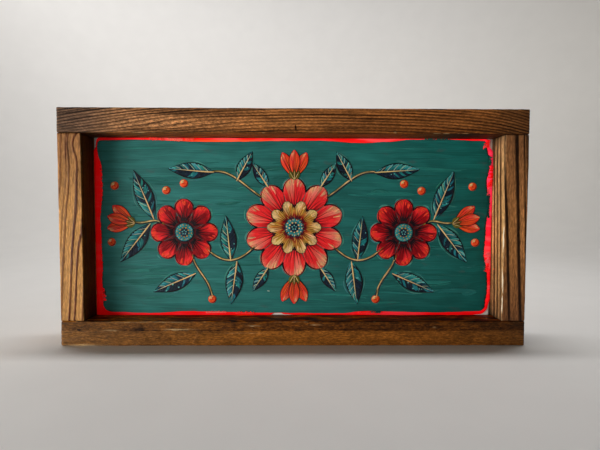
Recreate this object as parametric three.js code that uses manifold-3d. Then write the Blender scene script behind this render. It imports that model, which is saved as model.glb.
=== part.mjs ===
// A painted board in a deep box frame of planed pine sticks, standing on its bottom rail.
//
// Millimetres. X runs along the frame, Y from its face to its back and Z up. The origin is the middle
// of the bottom rail's underside. The two rails run the full length, and the stiles stand between them.
// The board is flush with the frame's back, so its face lies half way into the depth. On it lie the
// coats of paint, each a thin film: primer, coral ground, teal field, and a garland of flowers.

import * as THREE from "three";
import { mergeVertices } from "three/addons/utils/BufferGeometryUtils.js";
import Module from "manifold-3d";

// ---- driving dimensions: frame ----
const FRAME_LENGTH = 356;
const FRAME_HEIGHT = 181;
const FRAME_DEPTH = 38;
const RAIL_FACE = 19.2; // height of a rail's front face
const STILE_FACE = 18.4; // width of a stile's front face
const EASED_EDGE = 1; // radius of the sanded long edges

// ---- driving dimensions: board and paint ----
const BOARD_STOCK = 19; // board with its primer
const BOARD_GAP = 0.4; // between the board's edge and the frame
const FILM = 0.5; // each coat of paint
const CORAL_MARGIN = { side: 0.6, level: 0.4 }; // primer left bare round the coral
const CORAL_CORNER = 5;
const TEAL_MARGIN = { left: 5.2, right: 4.2, top: 2.4, bottom: 2.6 }; // coral left bare round the teal
const TEAL_CORNER = 7;
const CUT = 0.3; // gap between neighbouring shapes of the garland

// ---- driving dimensions: garland, from the middle of the board ----
// A blossom's outline: `outer` is the radius of its petal tips, `notch` the depth of the gaps between
// them, and `first` the direction of one tip, in degrees from straight up.
const HEART = { x: 0, z: 0, petals: 10, outer: 40, notch: 10, first: 0 };
const HEART_CROWN = { x: 0, z: 0, petals: 10, outer: 22, notch: 6, first: 18 }; // short petals round the eye
const SIDE = { x: 88, z: -4, petals: 8, outer: 27, notch: 7.5, first: 0 };
const DISC = { heart: 8, side: 7.5 }; // radius of a blossom's eye
const STEM_WIDTH = 2.4;
const BERRY_RADIUS = 3.4;
const BUD_PETALS = 3;
const BUD_SPREAD = 24; // degrees between a bud's petals

// The right half of the garland. The left half mirrors it. Directions are in degrees from +X to +Z.
const STEMS = {
  link: [[30, -14], [46, -31], [58, -30], [72, -16]],
  outer: [[104, 2], [113, 9], [118, 1], [128, 4]],
  upper: [[26, 24], [40, 32], [50, 47], [66, 44]],
  lower: [[82, -22], [80, -36], [68, -40], [66, -58]],
};
const LEAVES = {
  rising: { x: 51, z: -27, toward: 84, length: 37, width: 12.5 },
  sinking: { x: 46, z: -27, toward: -82, length: 36, width: 13.5 },
  high: { x: 64, z: 44, toward: 4, length: 37, width: 12.5 },
  tall: { x: 46, z: 37, toward: 118, length: 27, width: 10.5 },
  crest: { x: 112, z: 6, toward: 68, length: 43, width: 14 },
  trailing: { x: 115, z: 3, toward: -52, length: 40, width: 14 },
  low: { x: 79, z: -37, toward: -24, length: 38, width: 13 },
};
const BUDS = { outer: { x: 127, z: 3, toward: 14, length: 23, width: 9.5 } };
const MIDDLE_BUDS = { top: 90, bottom: -90 }; // direction of growth from the heart blossom
const MIDDLE_BUD = { length: 24, width: 9, start: 38 };
const SPRIG_LEAF = { start: 38, turn: 33, length: 24, width: 9 }; // small leaves beside the middle buds
const BERRIES = {
  high: [88, 35],
  far_high: [102, 29.5],
  tip_high: [143, 33],
  tip_low: [146, -12],
  low: [66, -58],
};

// ---- driving dimensions: sawtooth hanger ----
const HANGER_LENGTH = 45;
const HANGER_PLATE = 1; // thickness of the metal
const HANGER_BAR = 5; // height of the bar above its teeth
const HANGER_TAB = 7; // length of each nailed end
const HANGER_STAND_OFF = 1.6; // the toothed bar stands this far off the wood
const HANGER_TEETH = 11;
const TOOTH_HEIGHT = 2;
const NAIL_HEAD_RADIUS = 1.9;
const NAIL_SHANK_RADIUS = 0.75;
const NAIL_CROWN = 0.7; // height of the domed head

// ---- resolution ----
const EDGE_STEPS = 2; // half the chords of a stick's eased edge
const CORNER_STEPS = 3; // half the chords of a painted corner
const ROUND_STEPS = 9; // half the chords of a dot
const NAIL_STEPS = 12;
const OUTLINE_STEPS = 9; // points along each side of a petal or leaf
const PETAL_STEPS = 6; // points round each petal tip of a blossom
const STEM_STEPS = 9;

// ---- worked out ----
const BACK = FRAME_DEPTH / 2;
const OPENING_WIDTH = FRAME_LENGTH - 2 * STILE_FACE;
const OPENING_HEIGHT = FRAME_HEIGHT - 2 * RAIL_FACE;
const BOARD_WIDTH = OPENING_WIDTH - 2 * BOARD_GAP;
const BOARD_HEIGHT = OPENING_HEIGHT - BOARD_GAP; // it rests on the bottom rail
const BOARD_FACE = BACK - BOARD_STOCK;
const BOARD_MIDDLE = RAIL_FACE + BOARD_HEIGHT / 2;

const paint = (color, roughness = 0.5) => new THREE.MeshStandardMaterial({ color, roughness, metalness: 0 });
const FINISH = {
  railTop: paint("#7a4f30", 0.6),
  railBottom: paint("#69401b", 0.6),
  stileLeft: paint("#a06f40", 0.6),
  stileRight: paint("#7d5230", 0.6),
  rawPine: paint("#d8b98a", 0.75),
  primer: paint("#e4e0da", 0.7),
  coral: paint("#f02328", 0.45),
  teal: paint("#22544e", 0.4),
  heart: paint("#f2463c", 0.45),
  crown: paint("#d8a24a", 0.45),
  disc: paint("#1f6f78", 0.45),
  side: paint("#b3213a", 0.45),
  leaf: paint("#2a6a72", 0.45),
  stem: paint("#3b3a22", 0.5),
  bud: paint("#e0702c", 0.45),
  berry: paint("#f6a23a", 0.4),
  metal: new THREE.MeshStandardMaterial({ color: "#b79a5c", roughness: 0.35, metalness: 1 }),
};

// Exact turns: a flat shape stood up to face the front, and a stick laid along +X.
const [X, Y, Z] = [new THREE.Vector3(1, 0, 0), new THREE.Vector3(0, 1, 0), new THREE.Vector3(0, 0, 1)];
const UPRIGHT = new THREE.Matrix4().makeBasis(X, Z, Y.clone().negate());
const LENGTHWISE = new THREE.Matrix4().makeBasis(Y, Z, X);

const part = new THREE.Group();
const wasm = await Module();
wasm.setup();

// ---- solids: joining and cutting ----

function solidOf(geometry) {
  const bare = geometry.clone();
  bare.deleteAttribute("normal");
  bare.deleteAttribute("uv");
  const merged = mergeVertices(bare, 1e-4);
  const vertProperties = merged.attributes.position.array;
  const triVerts = new Uint32Array(merged.index.array);
  return new wasm.Manifold(new wasm.Mesh({ numProp: 3, vertProperties, triVerts }));
}

function geometryOf(solid) {
  const { vertProperties, triVerts } = solid.getMesh();
  const geometry = new THREE.BufferGeometry();
  geometry.setAttribute("position", new THREE.BufferAttribute(vertProperties, 3));
  geometry.setIndex(new THREE.BufferAttribute(triVerts, 1));
  geometry.computeVertexNormals();
  return geometry;
}

const joined = (solids) => solids.reduce((sum, solid) => sum.add(solid));

function addMesh(group, name, geometry, material, at = [0, 0, 0]) {
  const mesh = new THREE.Mesh(geometry, material);
  mesh.name = name;
  mesh.position.set(...at);
  group.add(mesh);
  return mesh;
}

// ---- flat shapes ----

function roundedRectangle(left, right, bottom, top, radius) {
  const shape = new THREE.Shape();
  shape.moveTo(left + radius, bottom);
  shape.absarc(right - radius, bottom + radius, radius, -Math.PI / 2, 0);
  shape.absarc(right - radius, top - radius, radius, 0, Math.PI / 2);
  shape.absarc(left + radius, top - radius, radius, Math.PI / 2, Math.PI);
  shape.absarc(left + radius, bottom + radius, radius, Math.PI, 1.5 * Math.PI);
  return shape;
}

const TIP_ROUNDNESS = 0.7; // power that fills out a blossom's petal tips

// Share of its half width that a form has at t, from 0 at its base to 1 at its tip.
const petalSide = (t) => Math.sin(Math.PI * t ** 1.5) ** 0.75; // broad, with a round tip
const leafSide = (t) => Math.sin(Math.PI * t ** 0.9) ** 1.1; // pointed at both ends

// A petal or leaf along +X from `start`, turned towards a direction and moved to x, z. `grow` widens it.
function blade({ x = 0, z = 0, toward = 0, start = 0, length, width }, side, grow = 0) {
  const ends = { low: start - grow, long: length + 2 * grow };
  const turn = THREE.MathUtils.degToRad(toward);
  const across = width / 2 + grow;
  const at = (t, sign) =>
    new THREE.Vector2(ends.low + ends.long * t, sign * across * side(t))
      .rotateAround(new THREE.Vector2(), turn)
      .add(new THREE.Vector2(x, z));
  const points = [];
  for (let i = 0; i < OUTLINE_STEPS; i++) points.push(at(i / OUTLINE_STEPS, -1));
  for (let i = OUTLINE_STEPS; i > 0; i--) points.push(at(i / OUTLINE_STEPS, 1));
  return new THREE.Shape(points);
}

function dot([x, z], radius) {
  return new THREE.Shape().absarc(x, z, radius, 0, 2 * Math.PI);
}

// The outline of a blossom: round petal tips with a sharp notch between each two.
function rosette({ x, z, petals, outer, notch, first }, grow = 0) {
  const points = [];
  const count = petals * PETAL_STEPS;
  for (let i = 0; i < count; i++) {
    const turn = (2 * Math.PI * i) / count;
    const fullness = Math.abs(Math.cos((petals * turn) / 2)) ** TIP_ROUNDNESS;
    const radius = outer + grow - notch * (1 - fullness);
    const toward = turn + THREE.MathUtils.degToRad(first);
    points.push(new THREE.Vector2(x - radius * Math.sin(toward), z + radius * Math.cos(toward)));
  }
  return new THREE.Shape(points);
}

// A ribbon of even width along a cubic curve through four control points.
function ribbon(controls, width) {
  const curve = new THREE.CubicBezierCurve(...controls.map(([x, z]) => new THREE.Vector2(x, z)));
  const edge = (i, sign) => {
    const t = i / STEM_STEPS;
    const along = curve.getTangent(t);
    const out = new THREE.Vector2(-along.y, along.x).multiplyScalar((sign * width) / 2);
    return curve.getPoint(t).add(out);
  };
  const points = [];
  for (let i = 0; i <= STEM_STEPS; i++) points.push(edge(i, -1));
  for (let i = STEM_STEPS; i >= 0; i--) points.push(edge(i, 1));
  return new THREE.Shape(points);
}

function extruded(shape, depth, curveSegments) {
  return new THREE.ExtrudeGeometry(shape, { depth, bevelEnabled: false, curveSegments });
}

// A flat shape as a film in the XZ plane, `thickness` thick towards the front.
function film(shape, thickness = FILM, curveSegments = ROUND_STEPS) {
  return extruded(shape, thickness, curveSegments).applyMatrix4(UPRIGHT);
}

// ---- frame ----

// A stick of planed pine with eased long edges, along +Z from its foot.
function stick(acrossX, acrossY, length) {
  const section = roundedRectangle(-acrossX / 2, acrossX / 2, -acrossY / 2, acrossY / 2, EASED_EDGE);
  return extruded(section, length, EDGE_STEPS);
}

function addFrame() {
  const frame = new THREE.Group();
  const rail = stick(FRAME_DEPTH, RAIL_FACE, FRAME_LENGTH).applyMatrix4(LENGTHWISE);
  const stile = stick(STILE_FACE, FRAME_DEPTH, OPENING_HEIGHT);
  const end = -FRAME_LENGTH / 2;
  const out = (FRAME_LENGTH - STILE_FACE) / 2;
  addMesh(frame, "top_rail", rail, FINISH.railTop, [end, 0, FRAME_HEIGHT - RAIL_FACE / 2]);
  addMesh(frame, "bottom_rail", rail.clone(), FINISH.railBottom, [end, 0, RAIL_FACE / 2]);
  addMesh(frame, "left_stile", stile, FINISH.stileLeft, [-out, 0, RAIL_FACE]);
  addMesh(frame, "right_stile", stile.clone(), FINISH.stileRight, [out, 0, RAIL_FACE]);
  part.add(frame);
}

// ---- board and its grounds ----

function addBoard() {
  const board = new THREE.Group();
  board.position.set(0, BOARD_FACE, BOARD_MIDDLE);
  const halfWidth = BOARD_WIDTH / 2;
  const halfHeight = BOARD_HEIGHT / 2;
  const wood = new THREE.BoxGeometry(BOARD_WIDTH, BOARD_STOCK - FILM, BOARD_HEIGHT);
  const primer = new THREE.BoxGeometry(BOARD_WIDTH, FILM, BOARD_HEIGHT);
  addMesh(board, "board", wood, FINISH.rawPine, [0, (BOARD_STOCK + FILM) / 2, 0]);
  addMesh(board, "primer_coat", primer, FINISH.primer, [0, FILM / 2, 0]);

  const coral = roundedRectangle(
    -halfWidth + CORAL_MARGIN.side,
    halfWidth - CORAL_MARGIN.side,
    -halfHeight + CORAL_MARGIN.level,
    halfHeight - CORAL_MARGIN.level,
    CORAL_CORNER,
  );
  addMesh(board, "coral_ground", film(coral, FILM, CORNER_STEPS), FINISH.coral);

  const teal = roundedRectangle(
    -halfWidth + TEAL_MARGIN.left,
    halfWidth - TEAL_MARGIN.right,
    -halfHeight + TEAL_MARGIN.bottom,
    halfHeight - TEAL_MARGIN.top,
    TEAL_CORNER,
  );
  addMesh(board, "teal_field", film(teal, FILM, CORNER_STEPS), FINISH.teal, [0, -FILM, 0]);
  part.add(board);
}

// ---- garland ----

// A form's specification, or a point, mirrored to the left half.
const mirrored = ({ x, toward, ...rest }) => ({ ...rest, x: -x, toward: 180 - toward });
const mirroredPoint = ([x, z]) => [-x, z];

function budShapes(bud, grow) {
  const shapes = [];
  for (let i = 0; i < BUD_PETALS; i++) {
    const toward = bud.toward + BUD_SPREAD * (i - (BUD_PETALS - 1) / 2);
    shapes.push(blade({ ...bud, toward }, petalSide, grow));
  }
  return shapes;
}

// Every form of the garland as { name, finish, shapes(grow) }, those that lie on top first.
function garlandForms() {
  const forms = [];
  const add = (name, finish, shapes) => forms.push({ name, finish, shapes });
  const addPair = (name, finish, spec, flip, shapes) => {
    add(`${name}_right`, finish, (grow) => shapes(spec, grow));
    add(`${name}_left`, finish, (grow) => shapes(flip(spec), grow));
  };
  const flipBlossom = (blossom) => ({ ...blossom, x: -blossom.x });

  add("heart_disc", FINISH.disc, (grow) => [dot([HEART.x, HEART.z], DISC.heart + grow)]);
  add("heart_crown", FINISH.crown, (grow) => [rosette(HEART_CROWN, grow)]);
  add("heart_petals", FINISH.heart, (grow) => [rosette(HEART, grow)]);
  addPair("side_disc", FINISH.disc, SIDE, flipBlossom, ({ x, z }, grow) => [dot([x, z], DISC.side + grow)]);
  addPair("side_petals", FINISH.side, SIDE, flipBlossom, (blossom, grow) => [rosette(blossom, grow)]);
  for (const [name, bud] of Object.entries(BUDS)) {
    addPair(`bud_${name}`, FINISH.bud, bud, mirrored, budShapes);
  }
  for (const [name, toward] of Object.entries(MIDDLE_BUDS)) {
    add(`bud_${name}`, FINISH.bud, (grow) => {
      const x = MIDDLE_BUD.start * Math.cos(THREE.MathUtils.degToRad(toward));
      const z = MIDDLE_BUD.start * Math.sin(THREE.MathUtils.degToRad(toward));
      return budShapes({ ...MIDDLE_BUD, start: 0, x, z, toward }, grow);
    });
  }
  for (const [name, at] of Object.entries(BERRIES)) {
    const berry = (point, grow) => [dot(point, BERRY_RADIUS + grow)];
    addPair(`berry_${name}`, FINISH.berry, at, mirroredPoint, berry);
  }
  for (const [name, controls] of Object.entries(STEMS)) {
    const flip = (points) => points.map(mirroredPoint);
    const stem = (points, grow) => [ribbon(points, STEM_WIDTH + 2 * grow)];
    addPair(`stem_${name}`, FINISH.stem, controls, flip, stem);
  }
  for (const [name, leaf] of Object.entries(LEAVES)) {
    addPair(`leaf_${name}`, FINISH.leaf, leaf, mirrored, (spec, grow) => [blade(spec, leafSide, grow)]);
  }
  for (const [name, toward] of Object.entries(MIDDLE_BUDS)) {
    const away = Math.sign(toward) * (Math.abs(toward) - SPRIG_LEAF.turn);
    const sprig = { ...SPRIG_LEAF, toward: away, x: 0, z: 0 };
    addPair(`sprig_${name}`, FINISH.leaf, sprig, mirrored, (spec, grow) => [blade(spec, leafSide, grow)]);
  }
  return forms;
}

// All forms lie at one level: each is cut back from those that lie on top of it. The cutters are
// thicker than the film, so that they go right through it.
function addGarland() {
  const garland = new THREE.Group();
  garland.position.set(0, BOARD_FACE - 2 * FILM, BOARD_MIDDLE);
  const cutters = [];
  for (const { name, finish, shapes } of garlandForms()) {
    const whole = joined(shapes(0).map((shape) => solidOf(film(shape))));
    const cut = cutters.reduce((left, cutter) => left.subtract(cutter), whole);
    addMesh(garland, name, geometryOf(cut), finish);
    for (const shape of shapes(CUT)) cutters.push(solidOf(film(shape, 3 * FILM).translate(0, FILM, 0)));
  }
  part.add(garland);
}

// ---- hanger ----

// A nail's profile as radius and distance off the wood: its shank through the tab, then its domed head.
const NAIL_PROFILE = [
  new THREE.Vector2(0, 0),
  new THREE.Vector2(NAIL_SHANK_RADIUS, 0),
  new THREE.Vector2(NAIL_SHANK_RADIUS, HANGER_PLATE),
  new THREE.Vector2(NAIL_HEAD_RADIUS, HANGER_PLATE),
  new THREE.Vector2(NAIL_HEAD_RADIUS * 0.8, HANGER_PLATE + NAIL_CROWN * 0.7),
  new THREE.Vector2(0, HANGER_PLATE + NAIL_CROWN),
];

// A toothed bar on two nailed tabs, in the XZ plane, its thickness running from y 0 to the back.
function addHanger() {
  const hanger = new THREE.Group();
  hanger.position.set(0, BACK, FRAME_HEIGHT - RAIL_FACE / 2);
  const barHalf = HANGER_LENGTH / 2 - HANGER_TAB;
  const toothWidth = (2 * barHalf) / HANGER_TEETH;
  const tabCentre = HANGER_LENGTH / 2 - HANGER_TAB / 2;

  const bar = new THREE.Shape();
  bar.moveTo(-barHalf, HANGER_BAR / 2);
  bar.lineTo(-barHalf, -HANGER_BAR / 2);
  for (let i = 0; i < HANGER_TEETH; i++) {
    const left = -barHalf + i * toothWidth;
    bar.lineTo(left + toothWidth / 2, -HANGER_BAR / 2 - TOOTH_HEIGHT);
    bar.lineTo(left + toothWidth, -HANGER_BAR / 2);
  }
  bar.lineTo(barHalf, HANGER_BAR / 2);
  const pieces = [solidOf(film(bar, HANGER_PLATE).translate(0, HANGER_STAND_OFF + HANGER_PLATE, 0))];

  for (const side of [-1, 1]) {
    const tab = new THREE.BoxGeometry(HANGER_TAB, HANGER_PLATE, HANGER_BAR);
    const step = new THREE.BoxGeometry(HANGER_PLATE, HANGER_STAND_OFF + HANGER_PLATE, HANGER_BAR);
    const holeRadius = NAIL_SHANK_RADIUS + CUT;
    const hole = new THREE.CylinderGeometry(holeRadius, holeRadius, 4 * HANGER_PLATE, NAIL_STEPS);
    const tabSolid = solidOf(tab.translate(side * tabCentre, HANGER_PLATE / 2, 0));
    pieces.push(tabSolid.subtract(solidOf(hole.translate(side * tabCentre, 0, 0))));
    const stepAt = side * (barHalf + HANGER_PLATE / 2);
    pieces.push(solidOf(step.translate(stepAt, (HANGER_STAND_OFF + HANGER_PLATE) / 2, 0)));

    const nail = new THREE.LatheGeometry(NAIL_PROFILE, NAIL_STEPS);
    const name = side < 0 ? "hanger_nail_left" : "hanger_nail_right";
    addMesh(hanger, name, nail, FINISH.metal, [side * tabCentre, 0, 0]);
  }
  addMesh(hanger, "sawtooth_hanger", geometryOf(joined(pieces)), FINISH.metal);
  part.add(hanger);
}

addFrame();
addBoard();
addGarland();
addHanger();

export default part;
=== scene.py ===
"""The looks of a framed painting: worn stained pine, three coats of paint, a garland in brush strokes."""

import math
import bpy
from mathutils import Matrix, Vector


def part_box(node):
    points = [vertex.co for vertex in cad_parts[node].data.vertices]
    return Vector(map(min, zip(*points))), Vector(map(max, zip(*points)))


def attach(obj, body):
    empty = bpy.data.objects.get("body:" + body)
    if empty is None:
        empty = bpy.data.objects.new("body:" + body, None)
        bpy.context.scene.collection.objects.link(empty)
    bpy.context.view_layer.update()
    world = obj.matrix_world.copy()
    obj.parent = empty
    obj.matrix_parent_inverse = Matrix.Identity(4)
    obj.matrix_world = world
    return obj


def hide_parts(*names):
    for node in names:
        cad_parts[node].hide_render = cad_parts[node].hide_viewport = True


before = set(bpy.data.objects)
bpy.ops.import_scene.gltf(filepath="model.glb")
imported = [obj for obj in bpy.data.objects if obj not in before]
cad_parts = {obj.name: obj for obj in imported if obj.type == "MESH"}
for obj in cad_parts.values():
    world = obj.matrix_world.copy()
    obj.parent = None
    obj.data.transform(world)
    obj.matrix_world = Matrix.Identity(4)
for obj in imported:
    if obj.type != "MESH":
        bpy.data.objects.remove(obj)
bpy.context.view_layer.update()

from types import SimpleNamespace

import bmesh
import bpy
import numpy as np
from mathutils import Matrix, Vector

bl_info = {
    "name": "Framed Folk Painting",
    "version": (1, 0, 0),
    "blender": (4, 5, 0),
    "location": "View3D > Sidebar > Painting",
    "description": "Builds a painted board in a deep box frame of stained pine",
    "category": "Object",
}

MM = 0.001
ROOT = "root"


# ---------------------------------------------------------------- places, from the frame


def span(node):
    """A node's middle and size, in metres."""
    low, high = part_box(node)
    return (low + high) / 2, high - low


BOARD_MIDDLE, BOARD_SIZE = span("primer_coat")
TEAL_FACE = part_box("teal_field")[0].y


# ---------------------------------------------------------------- node trees as expressions


def linear(colour):
    """A screen colour of three parts up to 255 as the four linear parts that a colour socket takes."""
    parts = [part / 255 for part in colour]
    return tuple(p / 12.92 if p <= 0.04045 else ((p + 0.055) / 1.055) ** 2.4 for p in parts) + (1.0,)


def operator(operation, swapped=False):
    def apply(self, other):
        terms = (other, self) if swapped else (self, other)
        return self.graph.math(operation, *terms)

    return apply


class Value:
    """An output of a node. An expression on values adds its Math nodes."""

    def __init__(self, graph, socket):
        self.graph = graph
        self.socket = socket

    __add__ = operator("ADD")
    __radd__ = operator("ADD", swapped=True)
    __sub__ = operator("SUBTRACT")
    __rsub__ = operator("SUBTRACT", swapped=True)
    __mul__ = operator("MULTIPLY")
    __rmul__ = operator("MULTIPLY", swapped=True)
    __truediv__ = operator("DIVIDE")
    __rtruediv__ = operator("DIVIDE", swapped=True)
    __pow__ = operator("POWER")
    __gt__ = operator("GREATER_THAN")
    __lt__ = operator("LESS_THAN")

    def __abs__(self):
        return self.graph.math("ABSOLUTE", self)


class Graph:
    """A node tree that is being built, for a material or for Geometry Nodes."""

    def __init__(self, tree, material=None):
        self.tree = tree
        self.material = material

    def node(self, kind, settings=None, inputs=None, output=0):
        """Adds a node. Its settings come first, because they choose which sockets it shows."""
        made = self.tree.nodes.new(kind)
        for name, value in (settings or {}).items():
            if name == "stops":
                self._stops(made.color_ramp, value)
            else:
                setattr(made, name, value)
        for key, value in (inputs or {}).items():
            socket = self._socket(made.inputs, key)
            if isinstance(value, Value):
                self.tree.links.new(value.socket, socket)
            else:
                socket.default_value = value
        return Value(self, self._socket(made.outputs, output)) if len(made.outputs) else None

    @staticmethod
    def _socket(sockets, key):
        shown = [s for s in sockets if s.enabled]
        return shown[key] if isinstance(key, int) else next(s for s in shown if s.name == key)

    @staticmethod
    def _stops(ramp, stops):
        while len(ramp.elements) > 1:
            ramp.elements.remove(ramp.elements[-1])
        for index, (place, colour) in enumerate(stops):
            stop = ramp.elements[0] if index == 0 else ramp.elements.new(place)
            stop.position = place
            stop.color = colour

    def math(self, operation, *terms):
        return self.node("ShaderNodeMath", {"operation": operation}, dict(enumerate(terms)))

    def vectors(self, operation, *terms):
        """Vector Math. With SCALE, the factor is the second term."""
        return self.node("ShaderNodeVectorMath", {"operation": operation}, dict(enumerate(terms)))

    def smooth(self, value, low, high):
        """0 below `low`, 1 above `high` and a smooth step between. `low` may be the larger."""
        settings = {"interpolation_type": "SMOOTHSTEP"}
        inputs = {"Value": value, "From Min": low, "From Max": high}
        return self.node("ShaderNodeMapRange", settings, inputs)

    def vector(self, x, y, z):
        return self.node("ShaderNodeCombineXYZ", None, {0: x, 1: y, 2: z})

    def parts(self, vector):
        made = self.node("ShaderNodeSeparateXYZ", None, {0: vector}).socket.node
        return [Value(self, socket) for socket in made.outputs]

    def noise(self, place, scale=1.0, detail=2.0, roughness=0.5):
        """Soft noise from 0 to 1. Its place is a vector, or the three parts of one."""
        if isinstance(place, tuple):
            place = self.vector(*place)
        inputs = {"Vector": place, "Scale": scale, "Detail": detail, "Roughness": roughness}
        return self.node("ShaderNodeTexNoise", None, inputs)

    def random(self, value):
        """An even random number from 0 to 1 for each whole number."""
        return self.node("ShaderNodeTexWhiteNoise", {"noise_dimensions": "1D"}, {"W": value})

    def mix(self, low, high, factor, blend="MIX"):
        """A colour from `low` at factor 0 to `high` at 1. A tuple of three is a screen colour."""
        inputs = {"Factor": factor, "A": low, "B": high}
        for key, value in inputs.items():
            if isinstance(value, tuple) and len(value) == 3:
                inputs[key] = linear(value)
        return self.node("ShaderNodeMix", {"data_type": "RGBA", "blend_type": blend}, inputs)

    def times(self, colour, tint, factor=1.0):
        """A colour multiplied by another, or by a grey."""
        return self.mix(colour, tint, factor, "MULTIPLY")

    def ramp(self, value, stops, interpolation="LINEAR"):
        made = self.node("ShaderNodeValToRGB", {"stops": stops}, {"Fac": value})
        made.socket.node.color_ramp.interpolation = interpolation
        return made


def shader(name):
    """A new material's graph, and the Object coordinates in millimetres."""
    material = bpy.data.materials.new(name)
    material.use_nodes = True
    material.node_tree.nodes.clear()
    graph = Graph(material.node_tree, material)
    coordinates = graph.node("ShaderNodeTexCoord", output="Object")
    return graph, graph.vectors("SCALE", coordinates, 1 / MM)


def surface(graph, settings, **driven):
    """Ends a material in one Principled shader: `settings` are even all over, and `driven` vary."""
    inputs = {**settings, **{name.replace("_", " "): value for name, value in driven.items()}}
    principled = graph.node("ShaderNodeBsdfPrincipled", None, inputs)
    graph.node("ShaderNodeOutputMaterial", None, {"Surface": principled})
    return graph.material


def bump(graph, height, depth):
    """A normal from a height of 0 to 1 that stands for `depth` millimetres."""
    return graph.node("ShaderNodeBump", None, {"Height": height, "Distance": depth * MM, "Strength": 1.0})


# Specular levels. All of them are dull.
WOOD_GLOSS, PAINT_GLOSS, STROKE_GLOSS, PRIMER_GLOSS, FLOOR_GLOSS = 0.14, 0.15, 0.16, 0.3, 0.25


class Shape(Graph):
    """A Geometry Nodes tree with named inputs, which ends in one geometry."""

    def __init__(self, name, **inputs):
        super().__init__(bpy.data.node_groups.new(name, "GeometryNodeTree"))
        self.tree.interface.new_socket("Geometry", in_out="INPUT", socket_type="NodeSocketGeometry")
        self.group = self.tree.nodes.new("NodeGroupInput")
        for label, (kind, value) in inputs.items():
            socket = self.tree.interface.new_socket(label, in_out="INPUT", socket_type=f"NodeSocket{kind}")
            if value is not None:
                socket.default_value = value
        self.tree.interface.new_socket("Geometry", in_out="OUTPUT", socket_type="NodeSocketGeometry")

    def given(self, label):
        return Value(self, self.group.outputs[label])

    def field(self, kind, settings=None, inputs=None, output=0):
        return self.node(f"GeometryNode{kind}", settings, inputs, output)

    def store(self, geometry, name, value, kind="FLOAT", domain="POINT"):
        settings = {"data_type": kind, "domain": domain}
        inputs = {"Geometry": geometry, "Name": name, "Value": value}
        return self.field("StoreNamedAttribute", settings, inputs)

    def named(self, name):
        return self.field("InputNamedAttribute", {"data_type": "FLOAT"}, {"Name": name})

    def move(self, geometry, place):
        return self.field("SetPosition", None, {"Geometry": geometry, "Position": place})

    def join(self, *geometries):
        joined = self.field("JoinGeometry")
        for geometry in geometries:
            self.tree.links.new(geometry.socket, joined.socket.node.inputs[0])
        return joined

    def finish(self, geometry, material):
        """Realizes instances, sets the material and ends the tree."""
        real = self.field("RealizeInstances", None, {0: geometry})
        smooth = self.field("SetShadeSmooth", None, {0: real})
        dressed = self.field("SetMaterial", None, {0: smooth, "Material": material})
        self.node("NodeGroupOutput", None, {0: dressed})
        return self.tree


def placed(name, data):
    """A new object of that data, in the scene."""
    made = bpy.data.objects.new(name, data)
    bpy.context.scene.collection.objects.link(made)
    return made


def grown(name, tree, start=None, **values):
    """The plain mesh that a tree makes of `start`, or of nothing, as an object at the origin."""
    holder = placed(name, start or bpy.data.meshes.new(name))
    modifier = holder.modifiers.new("shape", "NODES")
    modifier.node_group = tree
    for item in tree.interface.items_tree:
        if item.in_out == "INPUT" and item.name in values:
            modifier[item.identifier] = values[item.name]
    bpy.context.view_layer.update()
    depsgraph = bpy.context.evaluated_depsgraph_get()
    made = holder.evaluated_get(depsgraph)
    mesh = bpy.data.meshes.new_from_object(made, preserve_all_data_layers=True, depsgraph=depsgraph)
    holder.modifiers.clear()
    holder.data = mesh
    if not len(mesh.polygons):
        raise RuntimeError(f"{name} came out empty")
    return holder


# ---------------------------------------------------------------- wood


def stick(**values):
    """How one stick's wood grew and was stained. Millimetres from the stick's middle: along it, across
    its face and deep into the frame.

    Rings: `pith` is where the tree's middle lies, across and deep, with rings `spacing` apart whose late
    wood takes the share `late`, and bends reach into the depth by `pull`. Or `bands` set the rings one by
    one: a period and a start, then place, half width and strength of each. `lean` is their slope along
    the stick, and `arch` the height and the place of a bow. `sway` is how far they wander in the length
    `sway_length`, and `fuzz` how ragged they are. `knots` bend them: along, across, half length, half
    width, push. `eyes` hold broad pale early wood: along, across, half length, half width. `contrast` is
    how dark late wood is on the face.

    Face: `strips` are darker, rougher bands: across, half width, depth of tone, start, end. `marks` are
    small spots: along, across, half length, half width, and how pale, or how dark below 0. `veins` are
    dark lines of resin: along, across, half length, half width, strength, slope. `fleck` and `mottle` are
    the strengths of fine and of broad unevenness, and `fibre` stretches it along the grain.

    Stain: `tones` from one end to the other, with a painted reflection in the grey at the top rail's left
    end, and `dark` for late wood. `inner` is the side that looks into the recess, the strength of its
    rings, and its tints at the front and at the board, which are partly stain and partly painted light and
    shade: paler on a lit face, darker on a shaded one and towards the board. `figure` is the strength of
    its dark streaks. `stains` are darker places there, painted shade in corners and at ends or
    patches of stain, or paler below 0: along, deep, half length, half depth, strength. `rub` is a rubbed
    edge: side, start, end. `specks` are dots on a side: side, along, deep, radius, colour. `round_end` is
    how round the ends are, above 0 and up to 1."""
    usual = {
        "upright": False, "pith": (-70, 8), "pull": 0.3, "spacing": 3.0, "late": 0.3, "bands": None,
        "lean": 0.0, "arch": (0.0, 0.0), "sway": 1.5, "sway_length": 90, "seed": 0, "knots": (), "eyes": (),
        "strips": (), "marks": (), "veins": (), "contrast": 1.0, "fuzz": 1.0, "stains": (),
        "rub": (1, 400, 500), "inner": (1, 1.0, (255, 255, 255), (255, 255, 255)), "fleck": 0.4,
        "mottle": 0.4, "round_end": 0.1, "specks": (), "fibre": 1.0, "figure": 0.2,
    }
    return SimpleNamespace(**{**usual, **values})


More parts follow.
